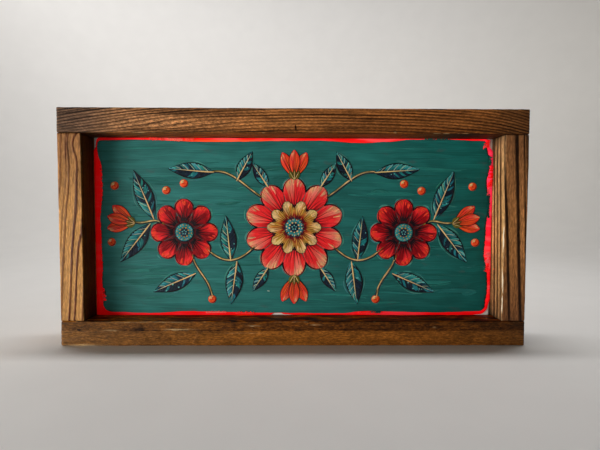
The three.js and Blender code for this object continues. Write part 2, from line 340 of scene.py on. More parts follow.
BOARD_EDGE = 0.4  # the eased edge of the board, in millimetres
BOARD_WEAR = 0.2  # the board's dents, as a share of the sticks'
BARE_WOOD = (244, 208, 150)
RUBBED_WOOD = (255, 246, 222)
ROUGH_TINT = (0.98, 0.77, 0.36, 1.0)  # what the rough strips keep of red, green and blue
CORAL_SPECK = (240, 40, 34)
PIN_HOLE = (26, 15, 8)
PINS = [(along, deep, 0.75, PIN_HOLE) for along in (-171.2, -166.4, 166.2, 171.5) for deep in (-8.4, 7.8)]

# In each stick, the recess tints of `inner` and the darker places in the recess are partly painted light and
# shade.
STICKS = {
    "top_rail": stick(
        pith=(-78, 14), spacing=2.05, late=0.54, arch=(-14.0, 30.0), sway=1.0, sway_length=130, seed=3,
        knots=((188, 0, 24, 60, 5.0),), eyes=((-86, -2.0, 46, 5.4),), contrast=1.0, fuzz=0.45, fleck=0.3,
        mottle=0.3, round_end=0.8, strips=((-7.8, 2.2, 0.3, -130, 170), (7.2, 3.0, 0.24, -116, -48)),
        marks=((1.0, -4.9, 0.8, 1.8, -1.0), (76, -8.6, 1.0, 0.6, 0.8), (-20, 8.6, 1.6, 0.5, 0.6)),
        veins=((-160, 6.4, 22, 0.55, 0.9, 0.13), (-166, 8.4, 12, 0.5, 0.8, 0.13),
               (-152, 2.6, 20, 0.4, 0.6, 0.12), (-104, 4.9, 22, 0.5, 0.8, 0.06),
               (-80, 7.3, 24, 0.7, 0.95, 0.085), (-72, 5.3, 26, 0.5, 0.85, 0.06),
               (-92, 8.9, 16, 0.4, 0.8, 0.08), (-54, 3.6, 26, 0.4, 0.7, 0.05),
               (-44, 8.2, 24, 0.4, 0.7, 0.04), (-28, -8.3, 26, 0.55, 0.95, -0.006),
               (-96, -7.6, 34, 0.5, 0.8, -0.02), (14, 5.9, 30, 0.35, 0.6, -0.01),
               (58, 1.2, 30, 0.45, 0.8, -0.015), (84, -3.0, 36, 0.5, 0.85, -0.03),
               (110, 4.4, 30, 0.4, 0.7, -0.05), (40, -5.6, 24, 0.4, 0.7, -0.01),
               (128, -6.0, 22, 0.5, 0.8, -0.06), (70, 7.4, 26, 0.4, 0.6, -0.02)),
        # The grey of the first tones, at the left end, is a painted reflection of the light on the wood.
        tones=((0, (112, 84, 64)), (0.07, (132, 98, 72)), (0.13, (184, 132, 88)), (0.42, (190, 124, 68)),
               (0.7, (170, 105, 51)), (0.9, (158, 97, 46)), (0.96, (120, 76, 38)), (1, (112, 70, 36))),
        dark=(26, 8, 1), inner=(-1, 0.7, (220, 196, 146), (196, 172, 124)),
        stains=((134, -6, 24, 60, 0.9), (-150, -6, 12, 60, 0.6)), specks=[(1, *pin) for pin in PINS],
    ),
    "bottom_rail": stick(
        pith=(6, 95), pull=1.3, spacing=8.0, late=0.75, sway=18.0, sway_length=44, seed=8,
        strips=((6.2, 3.7, 0.34, -190, -40), (6.2, 3.7, 0.52, -60, 190), (2.5, 0.35, 0.6, -150, 130)),
        contrast=0.2, fuzz=1.6, fleck=0.36, mottle=0.3, round_end=0.7,
        marks=((-164, 2.9, 1.8, 0.8, -0.9), (-118, 3.2, 6.0, 1.5, -0.8), (-89, 3.2, 9.0, 0.55, 1.0),
               (-140, 2.4, 4.5, 0.5, 0.9), (-57, 2.5, 3.0, 0.5, -0.7), (-31, 6.0, 4.0, 0.4, 0.6),
               (17, 6.8, 3.0, 0.4, 0.7), (108, 4.6, 1.2, 0.6, 0.7), (-110, 8.9, 26, 0.35, 0.5),
               (-161, -9.0, 12, 0.7, 1.0), (-38, 0.4, 14, 0.25, 0.35), (36, -2.6, 18, 0.25, -0.35)),
        veins=((48, 3.4, 44, 0.5, 0.7, 0.0), (20, 5.2, 30, 0.5, 0.5, 0.01), (92, 5.8, 34, 0.5, 0.5, -0.01)),
        tones=((0, (126, 85, 40)), (0.4, (145, 89, 29)), (0.75, (142, 85, 28)), (1, (108, 66, 25))),
        dark=(20, 8, 2), inner=(1, 1.0, (392, 352, 140), (392, 352, 140)), figure=0.88,
        stains=((-122, -8, 22, 20, -0.5), (95, -8, 28, 40, 0.3), (-84, -12, 12, 10, 0.3),
                (116, -13, 9, 3, 0.8), (136, -5, 10, 3, 0.8), (103, -3, 8, 3, 0.7), (126, -1, 9, 3, -0.6)),
        specks=[(-1, *pin) for pin in PINS],
    ),
    "left_stile": stick(
        upright=True, seed=5, sway=1.3, sway_length=70, lean=0.072, fuzz=1.2,
        bands=(18.0, 6.0, ((8.7, 0.45, 0.6), (11.0, 0.36, 0.5), (12.7, 0.56, 0.7), (16.6, 0.52, 1.0),
                           (19.1, 0.5, 0.95), (22.6, 0.5, 0.9))),
        knots=((63, 4.0, 9, 5, 4.2), (34, -4, 14, 4, -1.2), (8, 9, 22, 5, -2.4)), contrast=1.0, fibre=1.7,
        fleck=0.23, mottle=0.24, tones=((0, (178, 129, 72)), (0.6, (199, 143, 78)), (1, (157, 108, 64))),
        marks=((58, -2.6, 9, 0.5, -0.8), (70, -1.2, 4, 0.5, -0.6), (6, 8.6, 2.4, 0.5, -0.7)),
        veins=((62, -1.8, 12, 0.4, 0.8, 0.03), (40, 5.2, 16, 0.35, 0.5, 0.02)),
        dark=(78, 27, 0), inner=(1, 0.6, (130, 112, 38), (96, 74, 18)), stains=((-70, -3, 12, 14, 0.6),),
    ),
    "right_stile": stick(
        upright=True, seed=12, sway=0.7, sway_length=80, lean=-0.041, fuzz=1.0,
        bands=(27.0, -6.6, ((-5.6, 1.1, 0.85), (-1.5, 1.3, 0.95), (2.5, 1.3, 0.9), (6.5, 1.2, 1.0),
                            (11.5, 0.75, 1.0), (16.6, 0.85, 1.0), (19.9, 0.5, 0.95))),
        knots=((52, -9, 38, 6, 1.6),), contrast=0.97, fleck=0.3, mottle=0.25, fibre=1.7,
        marks=((-5, 1.6, 1.2, 0.8, -0.9), (-1, 1.7, 1.0, 0.7, -0.9)),
        tones=((0, (123, 78, 45)), (0.5, (180, 122, 69)), (1, (141, 94, 57))),
        specks=((-1, -33, -5, 0.6, CORAL_SPECK),),
        dark=(26, 8, 1), inner=(-1, 0.94, (338, 380, 412), (308, 354, 380)), rub=(-1, -68, 6),
        stains=((-75, -2, 12, 15, 0.85), (72, -2, 5, 16, 0.7)),
    ),
    "board": stick(
        pith=(30, -60), spacing=5.5, late=0.5, sway=3.0, sway_length=120, seed=21, contrast=0.62,
        knots=((64, -22, 11, 5, 5.0), (-96, 31, 8, 4, -4.0)), fuzz=0.5, fleck=0.16, mottle=0.12, fibre=5.0,
        round_end=0.3,
        tones=((0, (222, 184, 134)), (0.5, (228, 192, 144)), (1, (218, 180, 130))), dark=(172, 116, 66),
    ),
}


def stick_axes(graph, place, upright):
    """Along, across and deep of a point, out of its X, Y and Z."""
    x, y, z = graph.parts(place)
    return (z, x, y) if upright else (x, z, y)


def near(graph, along, across, centre, height, half_length, half_width):
    """1 at a place on the face and less away from it."""
    off = ((along - centre) / half_length) ** 2 + ((across - height) / half_width) ** 2
    return graph.math("EXPONENT", off * -1.0)


def vein(graph, along, across, row):
    """A line of resin that leans over the face, full in its middle and gone at its ends."""
    centre, height, half_length, half_width, strength, slope = row
    level = across - (along - centre) * slope
    return near(graph, along, level, centre, height, half_length, half_width) * strength


def banded(graph, reading, bands):
    """Late wood where the bands lie: each rises slowly and ends sharply."""
    period, start, rings = bands
    stops = []
    for middle, half, strength in rings:
        for side, level in ((-1.5, 0.0), (-0.5, strength), (0.6, strength), (0.95, 0.0)):
            stops.append(((middle + side * half - start) / period, (level, level, level, 1.0)))
    share = graph.math("FRACT", (reading - start) / period)
    return graph.ramp(share, stops) * 1.0  # as a number, not a colour


def growth_rings(graph, along, across, deep, wood):
    """How dark a point is in its year's ring: 0 in early wood, 1 at the sharp end of late wood."""
    seed = wood.seed * 17.3
    slow = (along / wood.sway_length + seed, across / 34, deep / 34)
    wave = (graph.noise(slow, detail=1.5) - 0.5) * (2 * wood.sway)
    fine = (along / 8 + seed, across / 2.2, deep / 2.2)
    shake = (graph.noise(fine, detail=1.0) - 0.5) * (0.5 * wood.fuzz)
    height, peak = wood.arch
    push = wave + shake - ((along - peak) / 178) ** 2 * height - along * wood.lean
    for *spot, strength in wood.knots:
        push = push + near(graph, along, across, *spot) * strength
    plain = 0.0
    for spot in wood.eyes:
        eye = near(graph, along, across, *spot)
        push = push - (across - spot[1]) * eye * 0.6
        plain = plain + eye * 0.75
    fade = graph.noise((along / 70 + seed, across / 3.5, deep / 3.5), detail=1.0)
    presence = graph.smooth(fade, 0.25, 0.55) * (1.0 - plain)
    if wood.bands:
        reading = (across + push) * 0.6 - deep * 0.8
        return banded(graph, reading, wood.bands) * (presence * 0.35 + 0.65)
    from_pith = graph.vector(across - wood.pith[0] + push, deep - wood.pith[1] + push * wood.pull, 0.0)
    radius = graph.vectors("LENGTH", from_pith)
    year = radius / wood.spacing + graph.noise((radius / 7, seed, 0.5), detail=1.0) * 0.7
    share = graph.math("FRACT", year)
    rise = graph.smooth(share, 1 - 1.2 * wood.late, 1 - 0.5 * wood.late)
    fall = graph.smooth(share, 1.0, 0.94)
    strength = graph.random(graph.math("FLOOR", year)) * 0.3 + 0.7
    return rise * fall * strength * (presence * 0.45 + 0.55)


def strip_mask(graph, along, across, deep, half_deep, wood):
    """Where the rougher strips lie on the front face, with ragged edges."""
    ragged = (graph.noise((along / 5 + wood.seed, across / 3, 0.0), detail=3.0) - 0.5) * 3.0
    mask = None
    for height, half_width, tone, start, end in wood.strips:
        off = abs(across - height + ragged * 0.4)
        band = graph.smooth(off, half_width + 0.4, half_width - 0.2) * tone
        band = band * graph.smooth(along, start - 12, start + 12) * graph.smooth(along, end + 12, end - 12)
        mask = band if mask is None else graph.math("MAXIMUM", mask, band)
    if mask is None:
        return 0.0
    return mask * graph.smooth(deep, 2.0 - half_deep, 0.6 - half_deep)


def stick_tree(name, wood, material):
    """A planed stick as a fine closed box: uneven eased edges, dents, and late wood standing proud."""
    shape = Shape(
        f"{name}_shape",
        Size=("Vector", None), Centre=("Vector", None), Edge=("Float", 1.0), Relief=("Float", 0.1),
        Wear=("Float", 0.5), StepsX=("Int", 10), StepsY=("Int", 10), StepsZ=("Int", 10),
    )
    size = shape.given("Size")
    steps = {f"Vertices {axis}": shape.given(f"Steps{axis}") for axis in "XYZ"}
    block = shape.field("MeshCube", None, {"Size": size, **steps})
    place = shape.field("InputPosition")
    along, across, deep = stick_axes(shape, shape.vectors("SCALE", place, 1 / MM), wood.upright)
    seed = wood.seed * 3.7

    # The eased edge: every point is pulled onto a ball that rolls inside the box, flat towards the ends.
    uneven = shape.noise((along / 24 + seed, across / 12, deep / 12), detail=3.0)
    radius = shape.given("Edge") * MM * (0.3 + uneven * 1.4)
    flat = wood.round_end
    ball_shape = (1.0, 1.0, flat) if wood.upright else (flat, 1.0, 1.0)
    round_again = (1.0, 1.0, 1 / flat) if wood.upright else (1 / flat, 1.0, 1.0)
    half = shape.vectors("SCALE", size, 0.5)
    inner = shape.vectors("SUBTRACT", half, shape.vectors("SCALE", ball_shape, radius))
    outer = shape.vectors("SCALE", inner, -1.0)
    core = shape.vectors("MINIMUM", shape.vectors("MAXIMUM", place, outer), inner)
    out = shape.vectors("MULTIPLY", shape.vectors("SUBTRACT", place, core), round_again)
    away = shape.vectors("NORMALIZE", out)
    ball = shape.vectors("MULTIPLY", shape.vectors("SCALE", away, radius), ball_shape)
    eased = shape.vectors("ADD", core, ball)

    # Everything else only cuts into the wood, so that it stays inside its box.
    late = growth_rings(shape, along, across, deep, wood)
    hollow = (1 - late) * shape.given("Relief")
    swell = shape.noise((along / 60 + seed, across / 16, deep / 16), detail=1.0) * 0.12
    dents = shape.smooth(shape.noise((along / 7, across / 3, deep / 3 + seed), detail=2.0), 0.62, 0.8)
    half_deep = shape.parts(half)[1] / MM
    rough = strip_mask(shape, along, across, deep, half_deep, wood)
    torn = shape.noise((along / 3.2, across / 0.9, deep / 0.9 + seed), detail=3.0) * 0.5
    cut = hollow + swell + dents * shape.given("Wear") + rough * torn
    moved = shape.vectors("ADD", eased, shape.vectors("SCALE", away, cut * -MM))
    centred = shape.vectors("ADD", moved, shape.given("Centre"))
    return shape.finish(shape.move(block, centred), material)


def pine(name, wood, middle, size, tint):
    """Stained wood whose rings run through the whole stick, so that faces, edges and ends agree."""
    graph, place = shader(name)
    along, across, deep = stick_axes(graph, graph.vectors("SUBTRACT", place, middle / MM), wood.upright)
    half_x, half_deep, half_z = size / (2 * MM)
    half_along, half_across = (half_z, half_x) if wood.upright else (half_x, half_z)
    seed = wood.seed * 5.1
    late = growth_rings(graph, along, across, deep, wood)
    rough = strip_mask(graph, along, across, deep, half_deep, wood)
    on_face = graph.smooth(deep, 1.5 - half_deep, 0.6 - half_deep)
    side, inner_rings, front_tint, deep_tint = wood.inner
    recess = graph.smooth(across * side, half_across - 1.1, half_across - 0.3) * graph.smooth(deep, 0.5, -0.5)

    def streaks(length, width, detail, low, high):
        """Patches of that length and width, 0 to 1, whose edges lie between two levels of noise."""
        place = (along / (length * wood.fibre) + seed, across / width, deep / width)
        return graph.smooth(graph.noise(place, detail=detail, roughness=0.6), low, high)

    def uneven(mask, swing):
        """A factor around 1 that swings with a mask."""
        return 1 + (mask - 0.5) * swing

    fleck = streaks(3.2, 1.05, 1.0, 0.38, 0.62)
    speckle = streaks(2.1, 0.62, 1.0, 0.4, 0.6)
    fibre = streaks(7, 0.6, 2.0, 0.36, 0.64)
    cloud = streaks(26, 7, 2.0, 0.3, 0.7)
    pores = streaks(3.0, 0.7, 1.0, 0.64, 0.74)
    torn = streaks(4, 1.4, 2.0, 0.34, 0.66)

    # The stain: paler in early wood, with fibres, flecks and pores, and darker at the ends.
    share = along / (2 * half_along) + 0.5
    early = graph.ramp(share, [(at, linear(tone)) for at, tone in wood.tones])
    rings = recess * (inner_rings - wood.contrast) + wood.contrast
    colour = graph.mix(early, wood.dark, late * rings)
    glow = 0.0
    for spot in wood.eyes:
        glow = glow + near(graph, along, across, *spot) * on_face
    end = graph.smooth(abs(along), half_along - 0.9, half_along - 0.2)
    tone = uneven(fleck, 1.1 * wood.fleck) * uneven(fibre, 1.1 * wood.fleck)
    tone = tone * uneven(speckle, 1.3 * wood.fleck)
    tone = tone * uneven(cloud, 1.5 * wood.mottle) * (1 - pores * wood.fleck * 0.8)
    tone = tone * (1 + glow * (speckle * 0.7 - 0.04)) * (1 - rough * (0.55 + torn * 0.85)) * (1 - end * 0.35)
    colour = graph.times(colour, tone)
    colour = graph.times(colour, ROUGH_TINT, rough)
    for row in wood.veins:
        line = vein(graph, along, across + (fleck - 0.5) * 0.3, row)
        colour = graph.mix(colour, wood.dark, line * on_face)

    # The recess: its tints are partly stain and partly painted light and shade, paler on a lit face and
    # darker on a shaded one and towards the board, with streaks of stain. Its darker places are painted
    # shade in corners and at ends, or patches of stain; below 0 they are paler.
    recess_stain_and_light = graph.mix(front_tint, deep_tint, graph.smooth(deep, -half_deep, 0.0))
    recess_stain_and_light = graph.times(recess_stain_and_light, 1 - streaks(34, 2.4, 2.0, 0.36, 0.66) * wood.figure)
    for *spot, strength in wood.stains:
        recess_stain_and_light = graph.times(recess_stain_and_light, 1 - near(graph, along, deep, *spot) * strength)
    colour = graph.times(colour, recess_stain_and_light, recess)

    # Bare wood where the long edges were rubbed, most along one of them, and small marks on the face.
    arris = graph.math("MAXIMUM", half_across - abs(across), half_deep - abs(deep))
    worn = graph.smooth(arris, 1.2, 0.3) * streaks(13, 7, 3.0, 0.58, 0.7)
    rub_side, start, stop = wood.rub
    rub = graph.smooth(along, start - 8, start + 8) * graph.smooth(along, stop + 8, stop - 8)
    rub = rub * graph.smooth(across * rub_side, half_across - 1.3, half_across - 0.5)
    scratches = graph.smooth(deep, 1.6 - half_deep, 0.5 - half_deep) * streaks(8, 1.3, 2.0, 0.47, 0.53)
    worn = graph.math("MAXIMUM", worn * 0.5, rub * scratches)
    for centre, height, half_long, half_wide, pale in wood.marks:
        ragged = across + (torn - 0.5) * half_wide
        spot = near(graph, along, ragged, centre, height, half_long, half_wide) * on_face
        if pale > 0:
            worn = graph.math("MAXIMUM", worn, spot * (0.4 + torn * 0.8) * pale)
        else:
            colour = graph.mix(colour, wood.dark, graph.smooth(spot, 0.2, 0.7) * -pale)
    bare_wood = graph.times(BARE_WOOD, 0.6 + fibre * 0.55)
    bare_wood = graph.mix(bare_wood, RUBBED_WOOD, rub * 0.8)
    colour = graph.times(graph.mix(colour, bare_wood, worn * 0.9), tint)
    for face, centre, depth, radius, tone in wood.specks:
        on_side = graph.smooth(across * face, half_across - 1.1, half_across - 0.5)
        speck = graph.smooth(near(graph, along, deep, centre, depth, radius, radius), 0.3, 0.5) * on_side
        colour = graph.mix(colour, tone, speck)

    roughness = 0.48 + fibre * 0.16 + late * -0.06 + rough * 0.25 + worn * 0.15
    height = fleck * 0.3 + fibre * 0.3 + late * 0.4 - pores * 0.4 + torn * rough
    return surface(
        graph, {"Specular IOR Level": WOOD_GLOSS}, Base_Color=colour, Roughness=roughness,
        Normal=bump(graph, height, 0.22),
    )


# ---------------------------------------------------------------- hanger

TEETH = 11
TOOTH_HEIGHT = 2.0
TOOTH_STEPS = 6  # stations of the mesh along each tooth
STRIP = 1.0  # thickness of the metal
STAND_OFF = 1.6  # the toothed bar stands this far off the wood
TAB = 7.0  # length of each nailed end
NAIL_HEAD = 1.9
NAIL_HEIGHT = 0.7  # of the domed head above the strip
HANGER_LOW, HANGER_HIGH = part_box("sawtooth_hanger")


def zinc(tint):
    """Bright zinc on steel: soft spangles, fine drawn lines, dull spots and a trace of rust."""
    graph, place = shader("zinc_plate")
    x, y, z = graph.parts(place)
    cells = graph.node("ShaderNodeTexVoronoi", None, {"Vector": place, "Scale": 0.9}, output="Color")
    spangle = graph.parts(cells)[0]
    drawn = graph.noise((x / 6, y / 0.3, z / 0.18), detail=2.0)
    dull = graph.smooth(graph.noise(place, scale=0.35, detail=3.0), 0.5, 0.7)
    rust = graph.smooth(graph.noise(place, scale=0.8, detail=4.0), 0.66, 0.76)
    colour = graph.times(tint, 0.74 + spangle * 0.2 + drawn * 0.16)
    colour = graph.mix(colour, (150, 146, 140), dull * 0.5)
    colour = graph.mix(colour, (116, 62, 30), rust * 0.7)
    return surface(
        graph, {}, Base_Color=colour, Metallic=1 - rust * 0.8, Roughness=0.28 + dull * 0.25 + rust * 0.3,
        Normal=bump(graph, drawn * 0.6 + spangle * 0.3, 0.06),
    )


def turned(rings, around):
    """Places on rings of radius and height, ring after ring."""
    turns = [math.tau * step / around for step in range(around)]
    return [(radius * math.cos(turn), radius * math.sin(turn), height)
            for radius, height in rings for turn in turns]


def ring_faces(rings, around):
    """Four-sided faces between that many rings of points."""
    steps = [(step, (step + 1) % around) for step in range(around)]
    return [(at + here, at + after, at + after + around, at + here + around)
            for at in range(0, (rings - 1) * around, around) for here, after in steps]


def meshed(name, points, faces, material):
    """A closed mesh of millimetre points, with its normals out."""
    mesh = bpy.data.meshes.new(name)
    mesh.from_pydata([[part * MM for part in point] for point in points], [], faces)
    work = bmesh.new()
    work.from_mesh(mesh)
    bmesh.ops.recalc_face_normals(work, faces=work.faces)
    work.to_mesh(mesh)
    work.free()
    mesh.materials.append(material)
    return placed(name, mesh)


def softened(piece, width, angle=30):
    """Rolls the sharp edges over, and leaves the plain mesh."""
    bevel = piece.modifiers.new("bevel", "BEVEL")
    bevel.width = width * MM
    bevel.segments = 2
    bevel.limit_method = "ANGLE"
    bevel.angle_limit = math.radians(angle)
    bpy.context.view_layer.update()
    depsgraph = bpy.context.evaluated_depsgraph_get()
    mesh = bpy.data.meshes.new_from_object(piece.evaluated_get(depsgraph), depsgraph=depsgraph)
    piece.modifiers.clear()
    piece.data = mesh
    mesh.shade_smooth()
    return piece


def toothed_strip(material):
    """A strip of sheet metal, stepped up off the wood between its two nailed ends, with teeth below."""
    low, high = HANGER_LOW / MM, HANGER_HIGH / MM
    half = (high.x - low.x) / 2
    middle = (high.x + low.x) / 2
    bar = half - TAB
    root = low.z + TOOTH_HEIGHT
    steps = TEETH * TOOTH_STEPS
    teeth = [-bar + 2 * bar * step / steps for step in range(steps + 1)]
    ends = [bar + 0.25, bar + 0.5, bar + 0.75, bar + STRIP, half - 3, half - 0.6, half]
    stations = [-x for x in reversed(ends)] + teeth + ends
    points = []
    for x in stations:
        off = abs(x)
        rise = min(1.0, max(0.0, (bar + STRIP - off) / STRIP))
        lift = STAND_OFF * rise * rise * (3 - 2 * rise)
        share = ((x + bar) / (2 * bar) * TEETH) % 1.0 if off < bar else 0.0
        tooth = TOOTH_HEIGHT * (1 - abs(2 * share - 1)) if 1e-6 < share < 1 - 1e-6 else 0.0
        trim = 0.4 if off > half - 0.3 else 0.0
        for y in (lift, lift + STRIP):
            points.append((middle + x, low.y + y, root - tooth + trim))
            points.append((middle + x, low.y + y, high.z - trim))
    faces = [(0, 1, 3, 2)]
    for here in range(0, len(points) - 4, 4):
        for a, b in ((0, 1), (1, 3), (3, 2), (2, 0)):
            faces.append((here + a, here + b, here + b + 4, here + a + 4))
    last = len(points) - 4
    faces.append((last, last + 2, last + 3, last + 1))
    return softened(meshed("sawtooth_strip", points, faces, material), 0.12)


def nail_head(name, node, material):
    """A domed head, struck a little flat, on a short shank through the strip."""
    low, high = (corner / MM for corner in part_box(node))
    centre = (low + high) / 2
    profile = (
        (0.75, 0.0), (0.75, STRIP), (NAIL_HEAD - 0.12, STRIP), (NAIL_HEAD, STRIP + 0.1),
        (NAIL_HEAD - 0.05, STRIP + 0.26), (1.55, STRIP + 0.5), (1.1, STRIP + 0.64),
        (0.6, STRIP + NAIL_HEIGHT),
    )
    around = 32
    points = [(centre.x + x, low.y + off, centre.z + z) for x, z, off in turned(profile, around)]
    ends = [tuple(range(around)), tuple(range(len(points) - around, len(points)))]
    faces = ends + ring_faces(len(profile), around)
    return softened(meshed(name, points, faces, material), 0.08, 50)


# ---------------------------------------------------------------- coats of paint


def coat(**values):
    """One coat on the board. `margins` give how far it stays from its box's edges, in millimetres, as
    stops along each side from left to right or from bottom to top. `corners` are radii: top left, top
    right, bottom right, bottom left. `fray` is how far bristle ends run out, `wave` how far the edge
    wanders, and `thin_edge` the share of the thickness that the edge has."""
    usual = {"fray": 0.5, "wave": 0.4, "seed": 0, "corners": (2, 2, 2, 2), "thin_edge": 0.3}
    return SimpleNamespace(**{**usual, **values})


COATS = {
    "coral_ground": coat(
        seed=2, fray=0.0, wave=0.0, corners=(2.5, 2, 4, 1), thin_edge=0.8,
        margins={
            "left": ((0, 0.0), (0.925, 0.0), (0.955, 1.6), (1, 2.0)),
            "right": ((0, 4.0), (0.04, 1.7), (0.09, 0.0), (0.925, 0.0), (0.96, 2.6), (1, 4.0)),
            "top": ((0, 0.0), (1, 0.0)),
            "bottom": ((0, 0.0), (0.44, 0.0), (0.45, 1.7), (0.466, 1.7), (0.474, 0.6), (0.5, 0.1),
                       (0.96, 0.0), (1, 0.8)),
        },
    ),
    "teal_field": coat(
        seed=4, fray=0.7, wave=0.5, corners=(2.8, 3.2, 5, 6.5),
        margins={
            "left": ((0, 0.2), (0.12, -0.3), (0.3, 0.0), (0.56, -0.9), (0.7, 0.6), (0.85, 0.2),
                     (0.95, -2.6), (1, -2.4)),
            "right": ((0, 0.0), (0.15, -1.7), (0.25, -1.2), (0.33, 1.4), (0.5, 0.4), (0.64, -1.9),
                      (0.76, 0.4), (0.88, -2.2), (0.96, 0.4)),
            "top": ((0, -0.2), (0.1, -0.8), (0.28, 0.7), (0.5, -0.3), (0.56, -0.6), (0.67, 1.2), (0.74, 0.2),
                    (0.8, -1.7), (0.88, -1.9), (1, -0.8)),
            "bottom": ((0, 0.2), (0.13, -0.9), (0.22, 0.5), (0.45, -0.8), (0.62, -1.2), (0.68, 0.5),
                       (0.87, -0.5), (1, 0.6)),
        },
    ),
    "primer_coat": coat(seed=1, fray=0.0, wave=0.0, corners=(0.3, 0.3, 0.3, 0.3), margins={}, thin_edge=1.0),
}


DEEPEST = 10.0  # a margin's ramp holds -10 to 10 mm as 0 to 1


def side_margin(shape, share, stops):
    """A coat's margin at a share of the way along a side, in millimetres."""
    if not stops:
        return 0.0
    greys = [(at, (0.5 + margin / (2 * DEEPEST),) * 3 + (1.0,)) for at, margin in stops]
    return (shape.ramp(share, greys, "EASE") - 0.5) * (2 * DEEPEST)


def coat_tree(name, spec, material):
    """A thin closed sheet of paint with brush marks along X, a wandering edge and frayed ends."""
    shape = Shape(
        f"{name}_shape",
        Size=("Vector", None), Centre=("Vector", None), Marks=("Float", 0.1),
        StepsX=("Int", 10), StepsZ=("Int", 10),
    )
    size = shape.given("Size")
    steps = {"Vertices X": shape.given("StepsX"), "Vertices Y": 2, "Vertices Z": shape.given("StepsZ")}
    block = shape.field("MeshCube", None, {"Size": size, **steps})
    x, y, z = shape.parts(shape.vectors("SCALE", shape.field("InputPosition"), 1 / MM))
    half_x, half_y, half_z = shape.parts(shape.vectors("SCALE", size, 0.5 / MM))
    seed = spec.seed * 11.7

    # Round corners, each with its own radius.
    top_left, top_right, bottom_right, bottom_left = spec.corners
    right = x > 0
    upper = z > 0
    above = right * (top_right - top_left) + top_left
    below = right * (bottom_right - bottom_left) + bottom_left
    radius = upper * above + (1 - upper) * below
    over_x, over_z = (
        shape.math("MAXIMUM", abs(at) - half + radius, 0.0) for at, half in ((x, half_x), (z, half_z))
    )
    reach = shape.math("SQRT", over_x ** 2 + over_z ** 2) + 1e-6
    pull = 1 - shape.math("MAXIMUM", over_x, over_z) / reach
    sign_x, sign_z = right * 2 - 1, upper * 2 - 1
    round_x = x - sign_x * over_x * pull
    round_z = z - sign_z * over_z * pull

    # The painter's uneven margins: bristle ends run out to the left and right.
    share_x = round_x / (half_x * 2) + 0.5
    share_z = round_z / (half_z * 2) + 0.5
    left, far_right, top, bottom = (
        side_margin(shape, share, spec.margins.get(side))
        for side, share in (("left", share_z), ("right", share_z), ("top", share_x), ("bottom", share_x))
    )
    rows = shape.noise((sign_x * 9 + seed, 0.0, round_z / 0.9), detail=2.0) - 0.5
    drift_z = (shape.noise((round_x / 9 + seed, sign_z * 5, 0.0), detail=3.0) - 0.5) * spec.wave
    drift_x = (shape.noise((sign_x * 5 + seed, round_z / 9, 0.0), detail=3.0) - 0.5) * spec.wave
    from_x, from_z = half_x - abs(round_x), half_z - abs(round_z)
    frayed = rows * shape.smooth(from_x, 5.0, 0.0) * (4 * spec.fray)
    in_x = right * far_right + (1 - right) * left + drift_x * 2 + frayed
    in_z = upper * top + (1 - upper) * bottom + drift_z * 2
    new_x = round_x - sign_x * in_x * shape.smooth(from_x, 40.0, 0.0)
    new_z = round_z - sign_z * in_z * shape.smooth(from_z, 30.0, 0.0)

    # The thickness, less towards the edge and in the marks of the brush.
    edge = shape.math("MINIMUM", half_x - abs(x), half_z - abs(z))
    swell = spec.thin_edge + shape.smooth(edge, 0.0, 7.0) * (1 - spec.thin_edge)
    marks = shape.noise((new_x / 38 + seed, new_z / 0.85, 0.3), detail=3.0, roughness=0.6)
    laps = shape.noise((new_x / 26 + seed, new_z / 6, 3.3), detail=2.0)
    sunk = ((1 - marks) * 0.7 + (1 - laps) * 0.3) * shape.given("Marks") * (y < 0)
    new_y = half_y - (half_y - y) * swell + sunk * 2
    moved = shape.vectors("SCALE", shape.vector(new_x, new_y, new_z), MM)
    return shape.finish(shape.move(block, shape.vectors("ADD", moved, shape.given("Centre"))), material)


def brush_marks(graph, place, long_way=38.0):
    """Streaks of a wide brush along X: fine bristle lines and broad laps, both 0 to 1."""
    x, y, z = graph.parts(place)
    sweep = (graph.noise((x / 60, z / 30, 0.0), detail=1.0) - 0.5) * 9
    bristles = graph.noise((x / long_way, (z + sweep) / 0.55, y / 3), detail=3.0, roughness=0.6)
    laps = graph.noise((x / 30, (z + sweep) / 5.5, 4.0), detail=2.0)
    return bristles, laps


def scaled(tint, *factors):
    """A colour with its red, green and blue each multiplied."""
    return tuple(part * factor for part, factor in zip(tint, factors)) + (1.0,)


